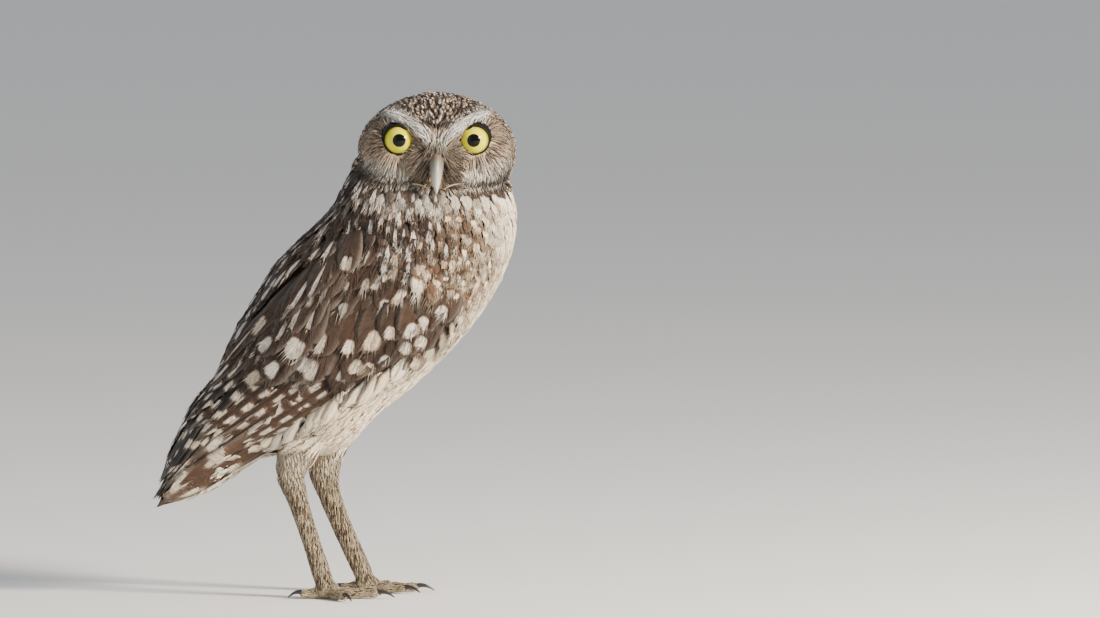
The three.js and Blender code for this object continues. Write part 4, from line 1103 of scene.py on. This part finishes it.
def layTail():
    t, times = tailPlan, wingLook["times"]
    index, side = np.repeat(np.arange(t["pairs"]), 2), np.tile([-1, 1], t["pairs"])
    share, count = index / (t["pairs"] - 1), len(index)
    place = t["root"] + (t["tip"] + t["shorter"] * index - t["root"])[:, None] * times
    root, tip = (mix(*t[key], share)[:, None] for key in ("rootAngle", "tipAngle"))
    degrees = mix(root, tip, times) * side[:, None]
    middle = onBody(place, degrees, mix(*t["depth"], times ** 2.4) + (t["layer"] * index)[:, None])
    half = t["width"] / 2 * np.ones((count, 1)) * vaneHalf(times, 0.6, 0.35, 2.4)
    form = {**t["vane"], "times": times, "columns": wingLook["columns"], "half": half,
            "length": np.linalg.norm(np.diff(middle, axis=1), axis=-1).sum(axis=1)}
    look = barredLook(count, t["bars"], t["inner"])
    look["mark"] = look["mark"] * t["mark"]
    piece = layAlong("tailFeathers", middle, bodyNormal(place, degrees), form, look,
                     unwrapAt(place[:, 0], degrees[:, 0]))
    wear(piece, barPaint, ("tail",))


layTail()
print("tail laid")


# Head: crown and nape in small spotted feathers, the face in fine tufts round the eyes, bristles at the bill
headLook = {
    "crown": {"spacing": 1.3, "length": 5, "width": 1.9}, "nape": {"spacing": 2, "length": 8, "width": 3.2},
    "face": {"spacing": 0.85, "length": 6, "width": 0.75},
    "brow": {"spacing": 1.0, "length": 6.5, "width": 0.8},
    "bristles": {"spacing": 0.62, "length": 7.5, "width": 0.34},
    "clearOfEye": 6.4, "clearOfBill": 2.4, "front": 8, "skinShare": (0.95, 0.09),
}
crownSpots = {"share": 0.72, "place": 0.74, "halfLong": (0.16, 0.1), "halfWide": (0.4, 0.3), "off": 0.2,
              "fringe": 0.2, "taper": 0.3, "dimmest": (0.5, 0.5), "vary": 0.16}
tuftPlan = {"vary": 0.2, "dark": 0.45, "nudge": 0.6, "fringe": 0.25}
facePaint = {  # places on the face as lateral and up from the head's centre
    "browLine": [(0.5, 3.5), (7, 9.3), (20, 15.6)], "browWidth": (1.6, 2.9),
    "crownPoint": 8.5, "crownRise": 16.5, "lore": (5.6, -4.5, 3.3),
    "mouth": [(0, -17.2), (3.5, -15.4), (12, -13.2), (25, -12.6), (30, -9.5)],
    "moustache": [(9, -11.5), (17, -10.8), (28, -7.2)], "moustacheWidth": (2.2, 3.6),
    "eyeCorner": (7.2, 2, 2), "collar": (31.5, -11.5, 5.6), "chin": (2.7, 1.1, 0.7),
}


def faceShare(points):  # 1 on the flat of the face, 0 on crown, nape and throat
    return smooth((headLocal(points)[1] - 6) / 5)


def eyeReach(x, up):
    return np.hypot(np.abs(x) - eyePlan["lateral"], up - eyePlan["up"])


def toPath(x, up, spots):  # distance from a line through spots, mirrored for both sides of the face
    a = np.abs(x)
    return np.min([nearLine(a, up, p, q) for p, q in zip(spots, spots[1:])], axis=0)


def mouthLine(x):
    spots = np.array(facePaint["mouth"])
    return np.interp(np.abs(x), spots[:, 0], spots[:, 1])


def crownAbove(x, up):  # positive above the line between crown and brow
    return up - mix(facePaint["crownPoint"], facePaint["crownRise"], smooth(np.abs(x) / 21))


def faceColour(points):
    p = facePaint
    x, _, up = headLocal(points)
    a, reach, low = np.abs(x), eyeReach(x, up), mouthLine(x) - up
    lore = near(np.hypot(a - p["lore"][0], (up - p["lore"][1]) * 0.55), 0, p["lore"][2])
    corner = np.hypot(a - eyePlan["lateral"] + p["eyeCorner"][0], up - eyePlan["up"] + p["eyeCorner"][1])
    brow = smooth(1.5 - toPath(x, up, p["browLine"]) / mix(*p["browWidth"], smooth(a / 12)))
    browTone = mix(plumage["disc"], plumage["brow"], smooth((a + 4) / 8)[:, None])
    dark = near(np.hypot((a - p["collar"][0]) / 1.4, up - p["collar"][1]), 0, p["collar"][2])
    # painted shade of the same crease, darkened outwards from the eyes and joined to the dark collar
    dark = dark + near(low, 1.2, 1.2) * smooth((a - 12) / 8) * 0.8
    colour = np.broadcast_to(plumage["disc"], (len(points), 3))
    for tone, share in (
            ("discDark", 0.5 * near(reach, 11, 3) * smooth((a - 15) / 4)),  # outer shade of the disc
            ("crown", smooth(crownAbove(x, up) / 1.2)),
            ("lore", 0.85 * lore),  # between eye and bill
            ("collar", 0.8 * near(corner, 0, p["eyeCorner"][2])),
            (browTone, brow),
            ("throat", near(toPath(x, up, p["moustache"]), 0, mix(*p["moustacheWidth"], smooth(a / 16)))),
            ("collar", 0.9 * near(low, 0.4, 0.8) * smooth((a - 1) / 3)),  # painted shade of the crease along the mouth line, where the face overlaps the throat
            ("breast", smooth((low - 0.8) / 1.0)),
            ("throat", near(low, *p["chin"][:2]) * p["chin"][2]),
            ("collar", np.clip(dark, 0, 1) * 0.92),
            ("lore", 0.6 * near(reach, 6.6, 0.7))):  # rim of the eye
        colour = mix(colour, plumage[tone] if isinstance(tone, str) else tone, share[:, None])
    return colour


def sides(x):
    return np.where(x < 0, -1.0, 1.0)


def faceFlow(points):  # out from the nearer eye on the disc, away from the bill between the eyes
    x, _, up = headLocal(points)
    away = columns(x - sides(x) * eyePlan["lateral"], 0.0, up - eyePlan["up"])
    share = smooth((np.abs(x) - 6) / 8)[:, None]
    down = (smooth((-up - 8) / 6) * 0.9)[:, None]
    return unit(unit(columns(x * 1.6, 2.0, up + 5)) * (1 - share) + unit(away) * share + downward * down)


def browFlow(points):
    return columns(sides(headLocal(points)[0]), 0.0, 0.75)


def bristleFlow(points):  # a fan down both sides of the bill
    x, _, up = headLocal(points)
    return unit(columns(0.7 * x + sides(x) * 1.5, -1.0, 0.25 * up - 3.2))


def headHeight(points):
    return mix(skinLook["headCoat"], skinLook["faceCoat"], faceShare(points)) - 0.15


def onHead(test):
    def wanted(points):
        p, (x, forward, up) = headLook, headLocal(points)
        close = np.abs(headShare(points) - p["skinShare"][0]) < p["skinShare"][1]
        clear = eyeReach(x, up) > np.where(forward > p["front"], p["clearOfEye"], 0)
        bill = (np.abs(x) < p["clearOfBill"]) & (up < 0) & (forward > p["front"])
        return (close & clear & ~bill & test(x, forward, up)).astype(float)
    return wanted


def crownLook(roots, *_):
    p, count = crownSpots, len(roots)
    one = rng.random(count)
    place = np.where(one < p["share"], p["place"], unmarked[0])
    spot = columns(place, spread(p["halfLong"], one), spread(p["halfWide"], one))
    more = columns(rng.normal(0, p["off"], count), p["fringe"] * rng.random(count), p["taper"])
    mark = mix(plumage["crownMark"], plumage["brow"], rng.random((count, 1)) ** 2)
    mark = mark * spread(p["dimmest"], rng.random((count, 1)))
    ground = vary(plumage["crown"], count, p["vary"])
    return {"ground": ground, "mark": mark, "spotPlace": spot, "spotMore": more}


def tuftLook(darkShare, colour=faceColour):  # the place on the head gives the colour
    def look(roots, *_):
        p, count = tuftPlan, len(roots)
        light = 1 + rng.normal(0, p["vary"], count)
        light = np.where(rng.random(count) < darkShare, light * p["dark"], light)
        nudge = rng.normal(0, p["nudge"], roots.shape)

        def ground(points, owner):
            return np.clip(colour(points + nudge[owner]) * light[owner, None], 0.003, 0.95)
        return {"ground": ground, "mark": np.tile(plumage["brow"], (count, 1)),
                "spotPlace": np.tile(unmarked, (count, 1)),
                "spotMore": columns(0.0, p["fringe"] * rng.random(count), 0.0)}
    return look


def layOnHead(name, look, colours, flow, test, extra, height=headHeight, **more):
    layContour(name, **headLook[look], colours=colours, slot="plumage_face", flow=flow, unwrap=headUnwrap,
               wanted=onHead(test), height=height, extra=extra, **more)


def bristleColour(points):
    return np.broadcast_to(mix(plumage["lore"], plumage["disc"], 0.45), points.shape)


def noseColour(points):
    up = headLocal(points)[2]
    return mix(plumage["discDark"], plumage["throat"], 0.25 + 0.5 * smooth((up + 1) / 4)[:, None])


tuft = {"columns": 3, "strands": 0}
layOnHead("crownFeathers", "crown", crownLook, headFlow, extra={**tuft, "strands": 3, "strandThick": 0.14},
          test=lambda x, f, u: ((f < 8.5) & (f > -7)) | ((crownAbove(x, u) > 0) & (np.abs(x) < 19)))
layOnHead("napeFeathers", "nape", crownLook, headFlow, extra={**tuft, "strands": 6},
          test=lambda x, f, u: f < -5)
layOnHead("faceFeathers", "face", tuftLook(0.26), faceFlow, extra=tuft,
          test=lambda x, f, u: (f >= 7.5) & ((crownAbove(x, u) <= 0.5) | (np.abs(x) > 18)))
layOnHead("browFeathers", "brow", tuftLook(0.06), browFlow, extra=tuft, height=lambda q: headHeight(q) + 0.5,
          test=lambda x, f, u: (f > 8) & (toPath(x, u, facePaint["browLine"]) < 2) & (np.abs(x) > 3))
layOnHead("billBristles", "bristles", tuftLook(0.5, bristleColour), bristleFlow, extra=tuft, low=0.45,
          height=lambda q: np.full(len(q), 2.4),
          test=lambda x, f, u: (f > 8) & (np.abs(x) < 6.5) & (u < 1) & (u > -10))


nosePlan = {"count": 150, "halfWide": 3.0, "from": (0.8, 5.6), "forward": 24.1, "length": 5.4, "width": 0.42,
            "bulge": 0.75, "reachOut": 27.6, "fan": 0.17, "dark": 0.45, "arch": 0.12, "round": 0.22,
            "sizes": (0.65, 1.1), "swing": 0.14, "loose": 0.6}


def layNose():  # bristles from between the eyes that lie over the root of the bill
    p, t, count = nosePlan, contour["times"], nosePlan["count"]
    x = rng.uniform(-p["halfWide"], p["halfWide"], count)
    up = rng.uniform(*p["from"], count) - p["arch"] * x ** 2
    size = p["length"] * rng.uniform(*p["sizes"], count)
    swing = x * p["fan"] + rng.normal(0, p["swing"], count)
    lateral = x[:, None] + (np.sin(swing) * size)[:, None] * t
    height = up[:, None] - (np.cos(swing) * size)[:, None] * t
    over = (p["reachOut"] - p["round"] * x ** 2)[:, None] + rng.uniform(-p["loose"], p["loose"], (count, 1))
    forward = mix(p["forward"], over, t ** 0.8) + p["bulge"] * np.sin(np.pi * t)
    middle = fromHead(lateral, forward, height)
    normals = np.broadcast_to(np.array([0, -1.0, 0.25]), middle.shape)
    form = {"times": t, "columns": 3, "thick": 0.12, "camber": 0.2, "length": size, "wobble": 20,
            "half": p["width"] / 2 * vaneHalf(t, 0.3, 0.7, 1.3)[None] * np.ones((count, 1))}
    look = tuftLook(p["dark"], noseColour)(middle[:, 0])
    wear(layAlong("noseBristles", middle, normals, form, look, headUnwrap(middle[:, 0])), spotPaint)


layNose()


# Legs and toes in short soft tufts
legLook = {"leg": {"spacing": 0.86, "length": 4.6, "width": 0.5},
           "toe": {"spacing": 0.75, "length": 2.1, "width": 0.42}, "toeCoat": 0.35, "ankle": 6.5,
           "thighCoat": 1.8, "darkShare": 0.24, "paleFrom": 44, "paleOver": 14}


def legColours(roots, *_):
    count = len(roots)
    dark = (rng.random(count) < legLook["darkShare"])[:, None]
    high = smooth((roots[:, 2] - legLook["paleFrom"]) / legLook["paleOver"])[:, None]
    light, shade = mix(plumage["leg"], plumage["belly"], high), mix(plumage["legMark"], plumage["leg"], high)
    tone = np.where(dark, shade, light)
    return {"ground": vary(tone, count, 0.1), "mark": vary(plumage["throat"], count, 0.05),
            "spotPlace": np.tile(unmarked, (count, 1)), "spotMore": np.tile((0, 0.2, 0), (count, 1))}


def downwards(points):
    return np.tile((0.05, 0, -1.0), (len(points), 1))


def toeFlow(points):
    best, way = np.full(len(points), 1e9), np.zeros((len(points), 3))
    for leg in legPlan.values():
        for _, heading, length, _ in toePlan["digits"]:
            ahead = toeWay(leg, heading)
            local = points - (leg["foot"][0] + shiftX, leg["foot"][1], 2)
            along = np.clip((local * ahead).sum(axis=-1), 0, length)
            distance = np.linalg.norm(local - along[:, None] * ahead, axis=-1)
            closer = distance < best
            best, way[closer] = np.where(closer, distance, best), ahead
    return way + (0, 0, 0.15)


def legUnwrap(points):
    x, y, z = points.T
    return columns(np.clip((x + 40) / 90, 0, 1) * 0.5 + 0.25 * (y > 0), np.clip(z / 90, 0, 1))


layContour("legFeathers", **legLook["leg"], colours=legColours, slot="plumage_leg", flow=downwards,
           unwrap=legUnwrap, wanted=lambda q: legShare(q) * (q[:, 2] > legLook["ankle"]), extra=tuft,
           height=lambda q: mix(skinLook["legCoat"], legLook["thighCoat"], smooth((q[:, 2] - 42) / 12)))
layContour("toeBristles", **legLook["toe"], colours=legColours, slot="foot_scales", flow=toeFlow,
           unwrap=legUnwrap, wanted=lambda q: ((q[:, 2] > 1.1) & (q[:, 2] <= 7)).astype(float), extra=tuft,
           height=lambda q: np.full(len(q), legLook["toeCoat"]))
print("head and legs covered")


# Skin paint, with the same ground colours as the coat
skinPaint = {"roughness": 0.7, "legs": 0.5, "grain": 900, "bump": 0.4, "bumpDepth": 0.3}


def paintSkin():
    where = skinPoints(skin.data)
    colour = groundAt(*bodyPlace(where))
    isHead = (headShare(where) < 1.04)[:, None]
    colour = np.where(isHead, mix(plumage["crown"], faceColour(where), faceShare(where)[:, None]), colour)
    giveColour(skin, "ground", np.where(where[:, 2:] < 50, plumage["leg"] * skinPaint["legs"], colour))
    material, tree, shader = newPaint("skin", skinPaint["roughness"])
    feed(tree, shader.inputs["Base Color"], attribute(tree, "ground", "Color"))
    position = addNode(tree, "TexCoord", {}, "Object")
    cells = addNode(tree, "TexVoronoi", {"Scale": skinPaint["grain"], "Vector": position}, "Distance")
    addBump(tree, shader, cells, skinPaint["bump"], skinPaint["bumpDepth"])
    wear(skin, material, ("head", "neck", "torso", "thigh_right", "thigh_left", "shank_right", "shank_left",
                          "foot_right", "foot_left"))


paintSkin()


# Eyes: a globe whose front rises in a dome, with iris and pupil painted on it
eyePaint = {"roughness": 0.12, "coat": 0.12, "specular": 0.15, "fibres": 9.0,
            "deep": (198, 190, 14), "bright": (238, 228, 52), "edge": (120, 118, 10),
            "globe": (0.004, 0.004, 0.003), "pupil": (0.002, 0.002, 0.002)}


def makeEyes():
    p, look = eyePlan, eyePaint
    material, tree, shader = newPaint("eye", look["roughness"], coat=look["coat"], specular=look["specular"])
    make = partial(mathNode, tree)
    x, z, _ = splitNumbers(tree, attribute(tree, "iris"))
    reach = make("SQRT", make("ADD", make("MULTIPLY", x, x), make("MULTIPLY", z, z)))
    turn = make("MULTIPLY", make("ARCTAN2", x, z), look["fibres"])
    fibres = noise(tree, joinNumbers(tree, turn, make("MULTIPLY", reach, 1.4), 0.0), 1.0, 3.0, 0.6)
    colour = mixColour(tree, fibres, paint(*look["deep"]), paint(*look["bright"]))
    colour = mixColour(tree, ramp(tree, reach, 0.8, 1.0), colour, paint(*look["edge"]))
    colour = mixColour(tree, ramp(tree, reach, 0.99, 1.03), colour, look["globe"])
    black = p["pupil"] / p["iris"]
    colour = mixColour(tree, ramp(tree, reach, black, black + 0.04), look["pupil"], colour)
    feed(tree, shader.inputs["Base Color"], colour)
    rows, count = 40, 64
    tilt, turn = grid(np.linspace(0.004, np.pi - 0.1, rows), circle(count))
    out, front = p["globe"] * np.sin(tilt), tilt < np.pi / 2
    dome = p["rise"] * np.where(out < p["iris"], np.clip(1 - (out / p["iris"]) ** 2, 0, 1), 0) * front
    x, z, forward = out * np.cos(turn), out * np.sin(turn), p["forward"] + p["globe"] * np.cos(tilt) + dome
    for side, name, node in ((-1, "eyeRight", "eye_right"), (1, "eyeLeft", "eye_left")):
        points = fromHead(side * p["lateral"] + x, forward, p["up"] + z)
        piece = makeMesh(name, *faceOut(points, tubeFaces(rows, count)))
        giveColour(piece, "iris", columns(x / p["iris"], z / p["iris"] + ~front * 9, 0.0))
        wear(piece, material, (node,))


# Lids: a dark rim round each eye, its upper inner part cut by the slanting brow
lidPlan = {"opening": 6.15, "thick": 0.58, "forward": 21.4, "browCut": 4.5, "browLean": 45, "back": 0.1,
           "roughness": 0.8, "specular": 0.1, "colour": (0.012, 0.01, 0.009)}


def makeLids():
    p, parts, rows, count = lidPlan, [], 72, 10
    lean, around, turn = math.radians(p["browLean"]), circle(rows), circle(count)
    i, j = grid(np.arange(rows), np.arange(count))
    k, m = (i + 1) % rows, (j + 1) % count
    faces = columns(i * count + j, i * count + m, k * count + m, k * count + j).reshape(-1, 4)
    for side in (-1, 1):
        x, z = p["opening"] * np.cos(around), p["opening"] * np.sin(around)
        over = np.clip(-x * side * math.sin(lean) + z * math.cos(lean) - p["browCut"], 0, None)
        x, z = x + side * over * math.sin(lean), z - over * math.cos(lean)
        depth = p["forward"] - p["back"] * (np.abs(x * side + 1.5) ** 1.4)
        thick = (p["thick"] * (1 + 0.5 * near(around, np.pi if side > 0 else 0, 0.5)))[:, None]
        out = 1 + np.cos(turn) * thick * 1.1 / np.hypot(x, z)[:, None]
        forward = depth[:, None] - 0.6 + np.sin(turn) * thick
        x, z = side * eyePlan["lateral"] + x[:, None] * out, eyePlan["up"] + z[:, None] * out
        parts.append(faceOut(fromHead(x, forward, z), [faces]))
    material, _, _ = newPaint("lid", p["roughness"], specular=p["specular"], colour=p["colour"])
    wear(makeMesh("lids", *joinParts(parts)), material)


# Bill: upper and lower, as forward, up, half width and half depth down the curve
billPlan = {
    "upper": [(18, 1, 2.4, 1.8), (21, 0.2, 3.2, 2.9), (23.6, -1.7, 3.2, 3.6), (25.8, -4.8, 3, 3.9),
              (27.4, -7.2, 2.7, 3.6), (28.7, -9.9, 2.25, 2.9), (29.6, -12.6, 1.6, 2),
              (29.75, -15.2, 0.9, 1.1), (29.3, -17, 0.25, 0.3)],
    "lower": [(17, -8.6, 2.2, 1.4), (21, -11, 2.1, 1.3), (24, -13.4, 1.5, 1), (25.6, -15, 0.5, 0.4)],
    "keel": 0.28, "cere": (2.5, 25, -1.9), "cereSize": (1.9, 2.2, 2.5), "nostril": (3.3, 27.2, -1.4),
    "roughness": 0.38, "specular": 0.45, "deep": (150, 146, 132), "pale": (206, 202, 186),
    # flank: painted shade down both sides of the bill, the ridge left lighter
    "high": (118, 116, 104), "flankShade": (84, 80, 70), "flankShadeShare": 0.55,
    "root": (104, 88, 74), "hole": (46, 10, 8), "grain": 1.6, "bump": 0.15,
    "highFrom": (-13.0, -3.0), "rootFrom": (-4.5, -2.0), "flankShadeFrom": (0.9, 2.6), "holeEdge": (1.0, 1.35),
}


def billPart(spots, keel, rows=44, count=28):
    _, _, wide, high = table = runThrough(np.array(spots, float), np.linspace(0, len(spots) - 1, rows)).T
    spine = columns(0.0, *table[:2])
    along = unit(np.gradient(spine, axis=0))
    top = columns(0.0, -along[:, 2], along[:, 1])
    turn = circle(count)
    points = spine[:, None] + top[:, None] * (np.sin(turn) * high[:, None])[..., None]
    points[..., 0] += np.cos(turn) * wide[:, None] * (1 - keel * np.clip(np.sin(turn), 0, 1) ** 2)
    return fromHead(*np.moveaxis(points, -1, 0)), tubeFaces(rows, count)


def cerePart(side, rows=14, count=20):
    x, forward, up = billPlan["cere"]
    spots = ballWays(rows, count, 0.05) * billPlan["cereSize"] + (side * x, forward, up)
    return fromHead(*np.moveaxis(spots, -1, 0)), tubeFaces(rows, count)


def makeBill():
    p = billPlan
    material, tree, shader = newPaint("bill", p["roughness"], specular=p["specular"])
    make = partial(mathNode, tree)
    x, forward, up = splitNumbers(tree, attribute(tree, "spot"))
    beside = make("ABSOLUTE", x)
    stretched = joinNumbers(tree, x, make("MULTIPLY", forward, 0.35), make("MULTIPLY", up, 0.25))
    grain = noise(tree, stretched, p["grain"], 3.0)
    colour = mixColour(tree, grain, paint(*p["deep"]), paint(*p["pale"]))
    colour = mixColour(tree, ramp(tree, up, *p["highFrom"]), colour, paint(*p["high"]))
    # painted shade: both flanks of the bill darker than its ridge
    flankShade = make("MULTIPLY", ramp(tree, beside, *p["flankShadeFrom"]), p["flankShadeShare"])
    colour = mixColour(tree, flankShade, colour, paint(*p["flankShade"]))
    colour = mixColour(tree, ramp(tree, up, *p["rootFrom"]), colour, paint(*p["root"]))
    # the nostril: a dark red spot, its lining's own colour with painted shade of its opening
    steps = [make("SUBTRACT", value, centre) for value, centre in zip((beside, forward, up), p["nostril"])]
    a, b, c = (make("MULTIPLY", step, step) for step in steps)
    hole = make("SQRT", make("ADD", make("ADD", a, b), c))
    colour = mixColour(tree, ramp(tree, hole, *p["holeEdge"]), paint(*p["hole"]), colour)
    feed(tree, shader.inputs["Base Color"], colour)
    addBump(tree, shader, grain, p["bump"], p["bump"])
    upper, lower = faceOut(*billPart(p["upper"], p["keel"])), faceOut(*billPart(p["lower"], 0))
    upper = joinParts([upper] + [faceOut(*cerePart(side)) for side in (-1, 1)])
    parts = ("upperBill", "bill_upper", upper), ("lowerBill", "bill_lower", lower)
    for name, node, (points, faces) in parts:
        piece = makeMesh(name, points, faces)
        giveColour(piece, "spot", columns(*headLocal(points.reshape(-1, 3))))
        wear(piece, material, (node,))


# Pale edges of the gape on both sides of the bill's tip
gapePlan = {"line": [(2.4, 26.2, -15.6), (4.2, 26.6, -14.5), (7, 26.2, -13.4), (10, 25.2, -13)],
            "radius": 0.13, "roughness": 0.5, "colour": (196, 178, 148)}


def makeGape():
    p, parts = gapePlan, []
    material, _, _ = newPaint("gape", p["roughness"], colour=paint(*p["colour"]))
    for side in (-1, 1):
        x, forward, up = runThrough(np.array(p["line"]), np.linspace(0, len(p["line"]) - 1, 16)).T
        radius = p["radius"] * (0.35 + np.sin(np.pi * np.linspace(0, 1, 16)))[:, None]
        parts.append(faceOut(*tube(np.concatenate([fromHead(side * x, forward, up), radius], axis=1), 8)))
    wear(makeMesh("gapeEdges", *joinParts(parts)), material)


# Claws: curved black horn, one for each toe
clawPlan = {"radius": (1.2, 0.22), "rise": 1.15, "sunk": 1.8, "reach": 0.94, "drop": 1.9,
            "arch": 0.9, "below": 0.6, "roughness": 0.3, "specular": 0.5, "colour": (0.02, 0.017, 0.015)}


def makeClaws():
    p, t = clawPlan, np.linspace(0, 1, 18)
    material, _, _ = newPaint("claw", p["roughness"], specular=p["specular"], colour=p["colour"])
    radius = mix(*p["radius"], t ** 1.2)
    z = p["rise"] * (1 + p["arch"] * np.sin(np.pi * 0.9 * t))
    z = z + toePlan["centre"] - p["below"] - p["drop"] * t ** 2
    for legName, leg in legPlan.items():
        for digit, heading, length, claw in toePlan["digits"]:
            dx, dy, _ = toeWay(leg, heading)
            x, y = toePoint(leg, heading, length - p["sunk"])
            reach = p["reach"] * claw * t
            spots = columns(x + dx * reach, y + dy * reach, np.maximum(z, radius + 0.1), radius)
            piece = makeMesh(digit + "Claw" + legName.capitalize(), *faceOut(*tube(spots, 16, (-dy, dx, 0))))
            wear(piece, material, ("claw_" + legName + "_" + digit,))


makeEyes()
makeLids()
makeBill()
makeGape()
makeClaws()
print("eyes, lids, bill and claws made")


# Camera, floor and light
viewPlan = {"aim": (87.7, 0, 118), "distance": 5000, "height": 4, "width": 451, "sensor": 36}
lightPlan = {"key": {"at": (1.25, -0.75, 0.75), "power": 74, "size": 0.4, "colour": (1, 0.9, 0.76)},
             "fill": {"at": (-1.2, -1.0, 0.5), "power": 5, "size": 1.2, "colour": (0.8, 0.88, 1)},
             "world": 0.52, "sky": (0.95, 0.97, 1), "floor": 0.84, "aim": 0.11}


def makeView():
    p = viewPlan
    camera = bpy.data.cameras.new("camera")
    camera.sensor_width = p["sensor"]
    camera.lens = p["sensor"] * p["distance"] / p["width"]
    camera.clip_start, camera.clip_end = 0.5, 60
    thing = bpy.data.objects.new("camera", camera)
    bpy.context.scene.collection.objects.link(thing)
    aim = Vector(((p["aim"][0] + shiftX) * mm, p["aim"][1] * mm, p["aim"][2] * mm))
    rise = math.radians(p["height"])
    away = Vector((0, -math.cos(rise), math.sin(rise)))
    thing.location = aim + away * p["distance"] * mm
    thing.rotation_euler = (-away).to_track_quat("-Z", "Y").to_euler()
    bpy.context.scene.camera = thing


def makeLight(name, at, power, size, colour):
    lamp = bpy.data.lights.new(name, "AREA")
    lamp.energy, lamp.size, lamp.color = power, size, colour
    thing = bpy.data.objects.new(name, lamp)
    thing.location = at
    ahead = Vector((0, 0, lightPlan["aim"])) - Vector(at)
    thing.rotation_euler = ahead.to_track_quat("-Z", "Y").to_euler()
    bpy.context.scene.collection.objects.link(thing)


def makeStage():
    floorMesh = bpy.data.meshes.new("floor")
    corners = [(8 * math.cos(a), 8 * math.sin(a), 0) for a in circle(64)]
    floorMesh.from_pydata(corners, [], [list(range(len(corners)))])
    floor = bpy.data.objects.new("floor", floorMesh)
    bpy.context.scene.collection.objects.link(floor)
    floorMesh.materials.append(newPaint("floor", 0.9, colour=[lightPlan["floor"]] * 3)[0])
    world = bpy.data.worlds.new("studio")
    world.use_nodes = True
    background = world.node_tree.nodes["Background"]
    background.inputs["Color"].default_value = (*lightPlan["sky"], 1)
    background.inputs["Strength"].default_value = lightPlan["world"]
    bpy.context.scene.world = world
    for name in ("key", "fill"):
        makeLight(name, **lightPlan[name])


makeView()
makeStage()
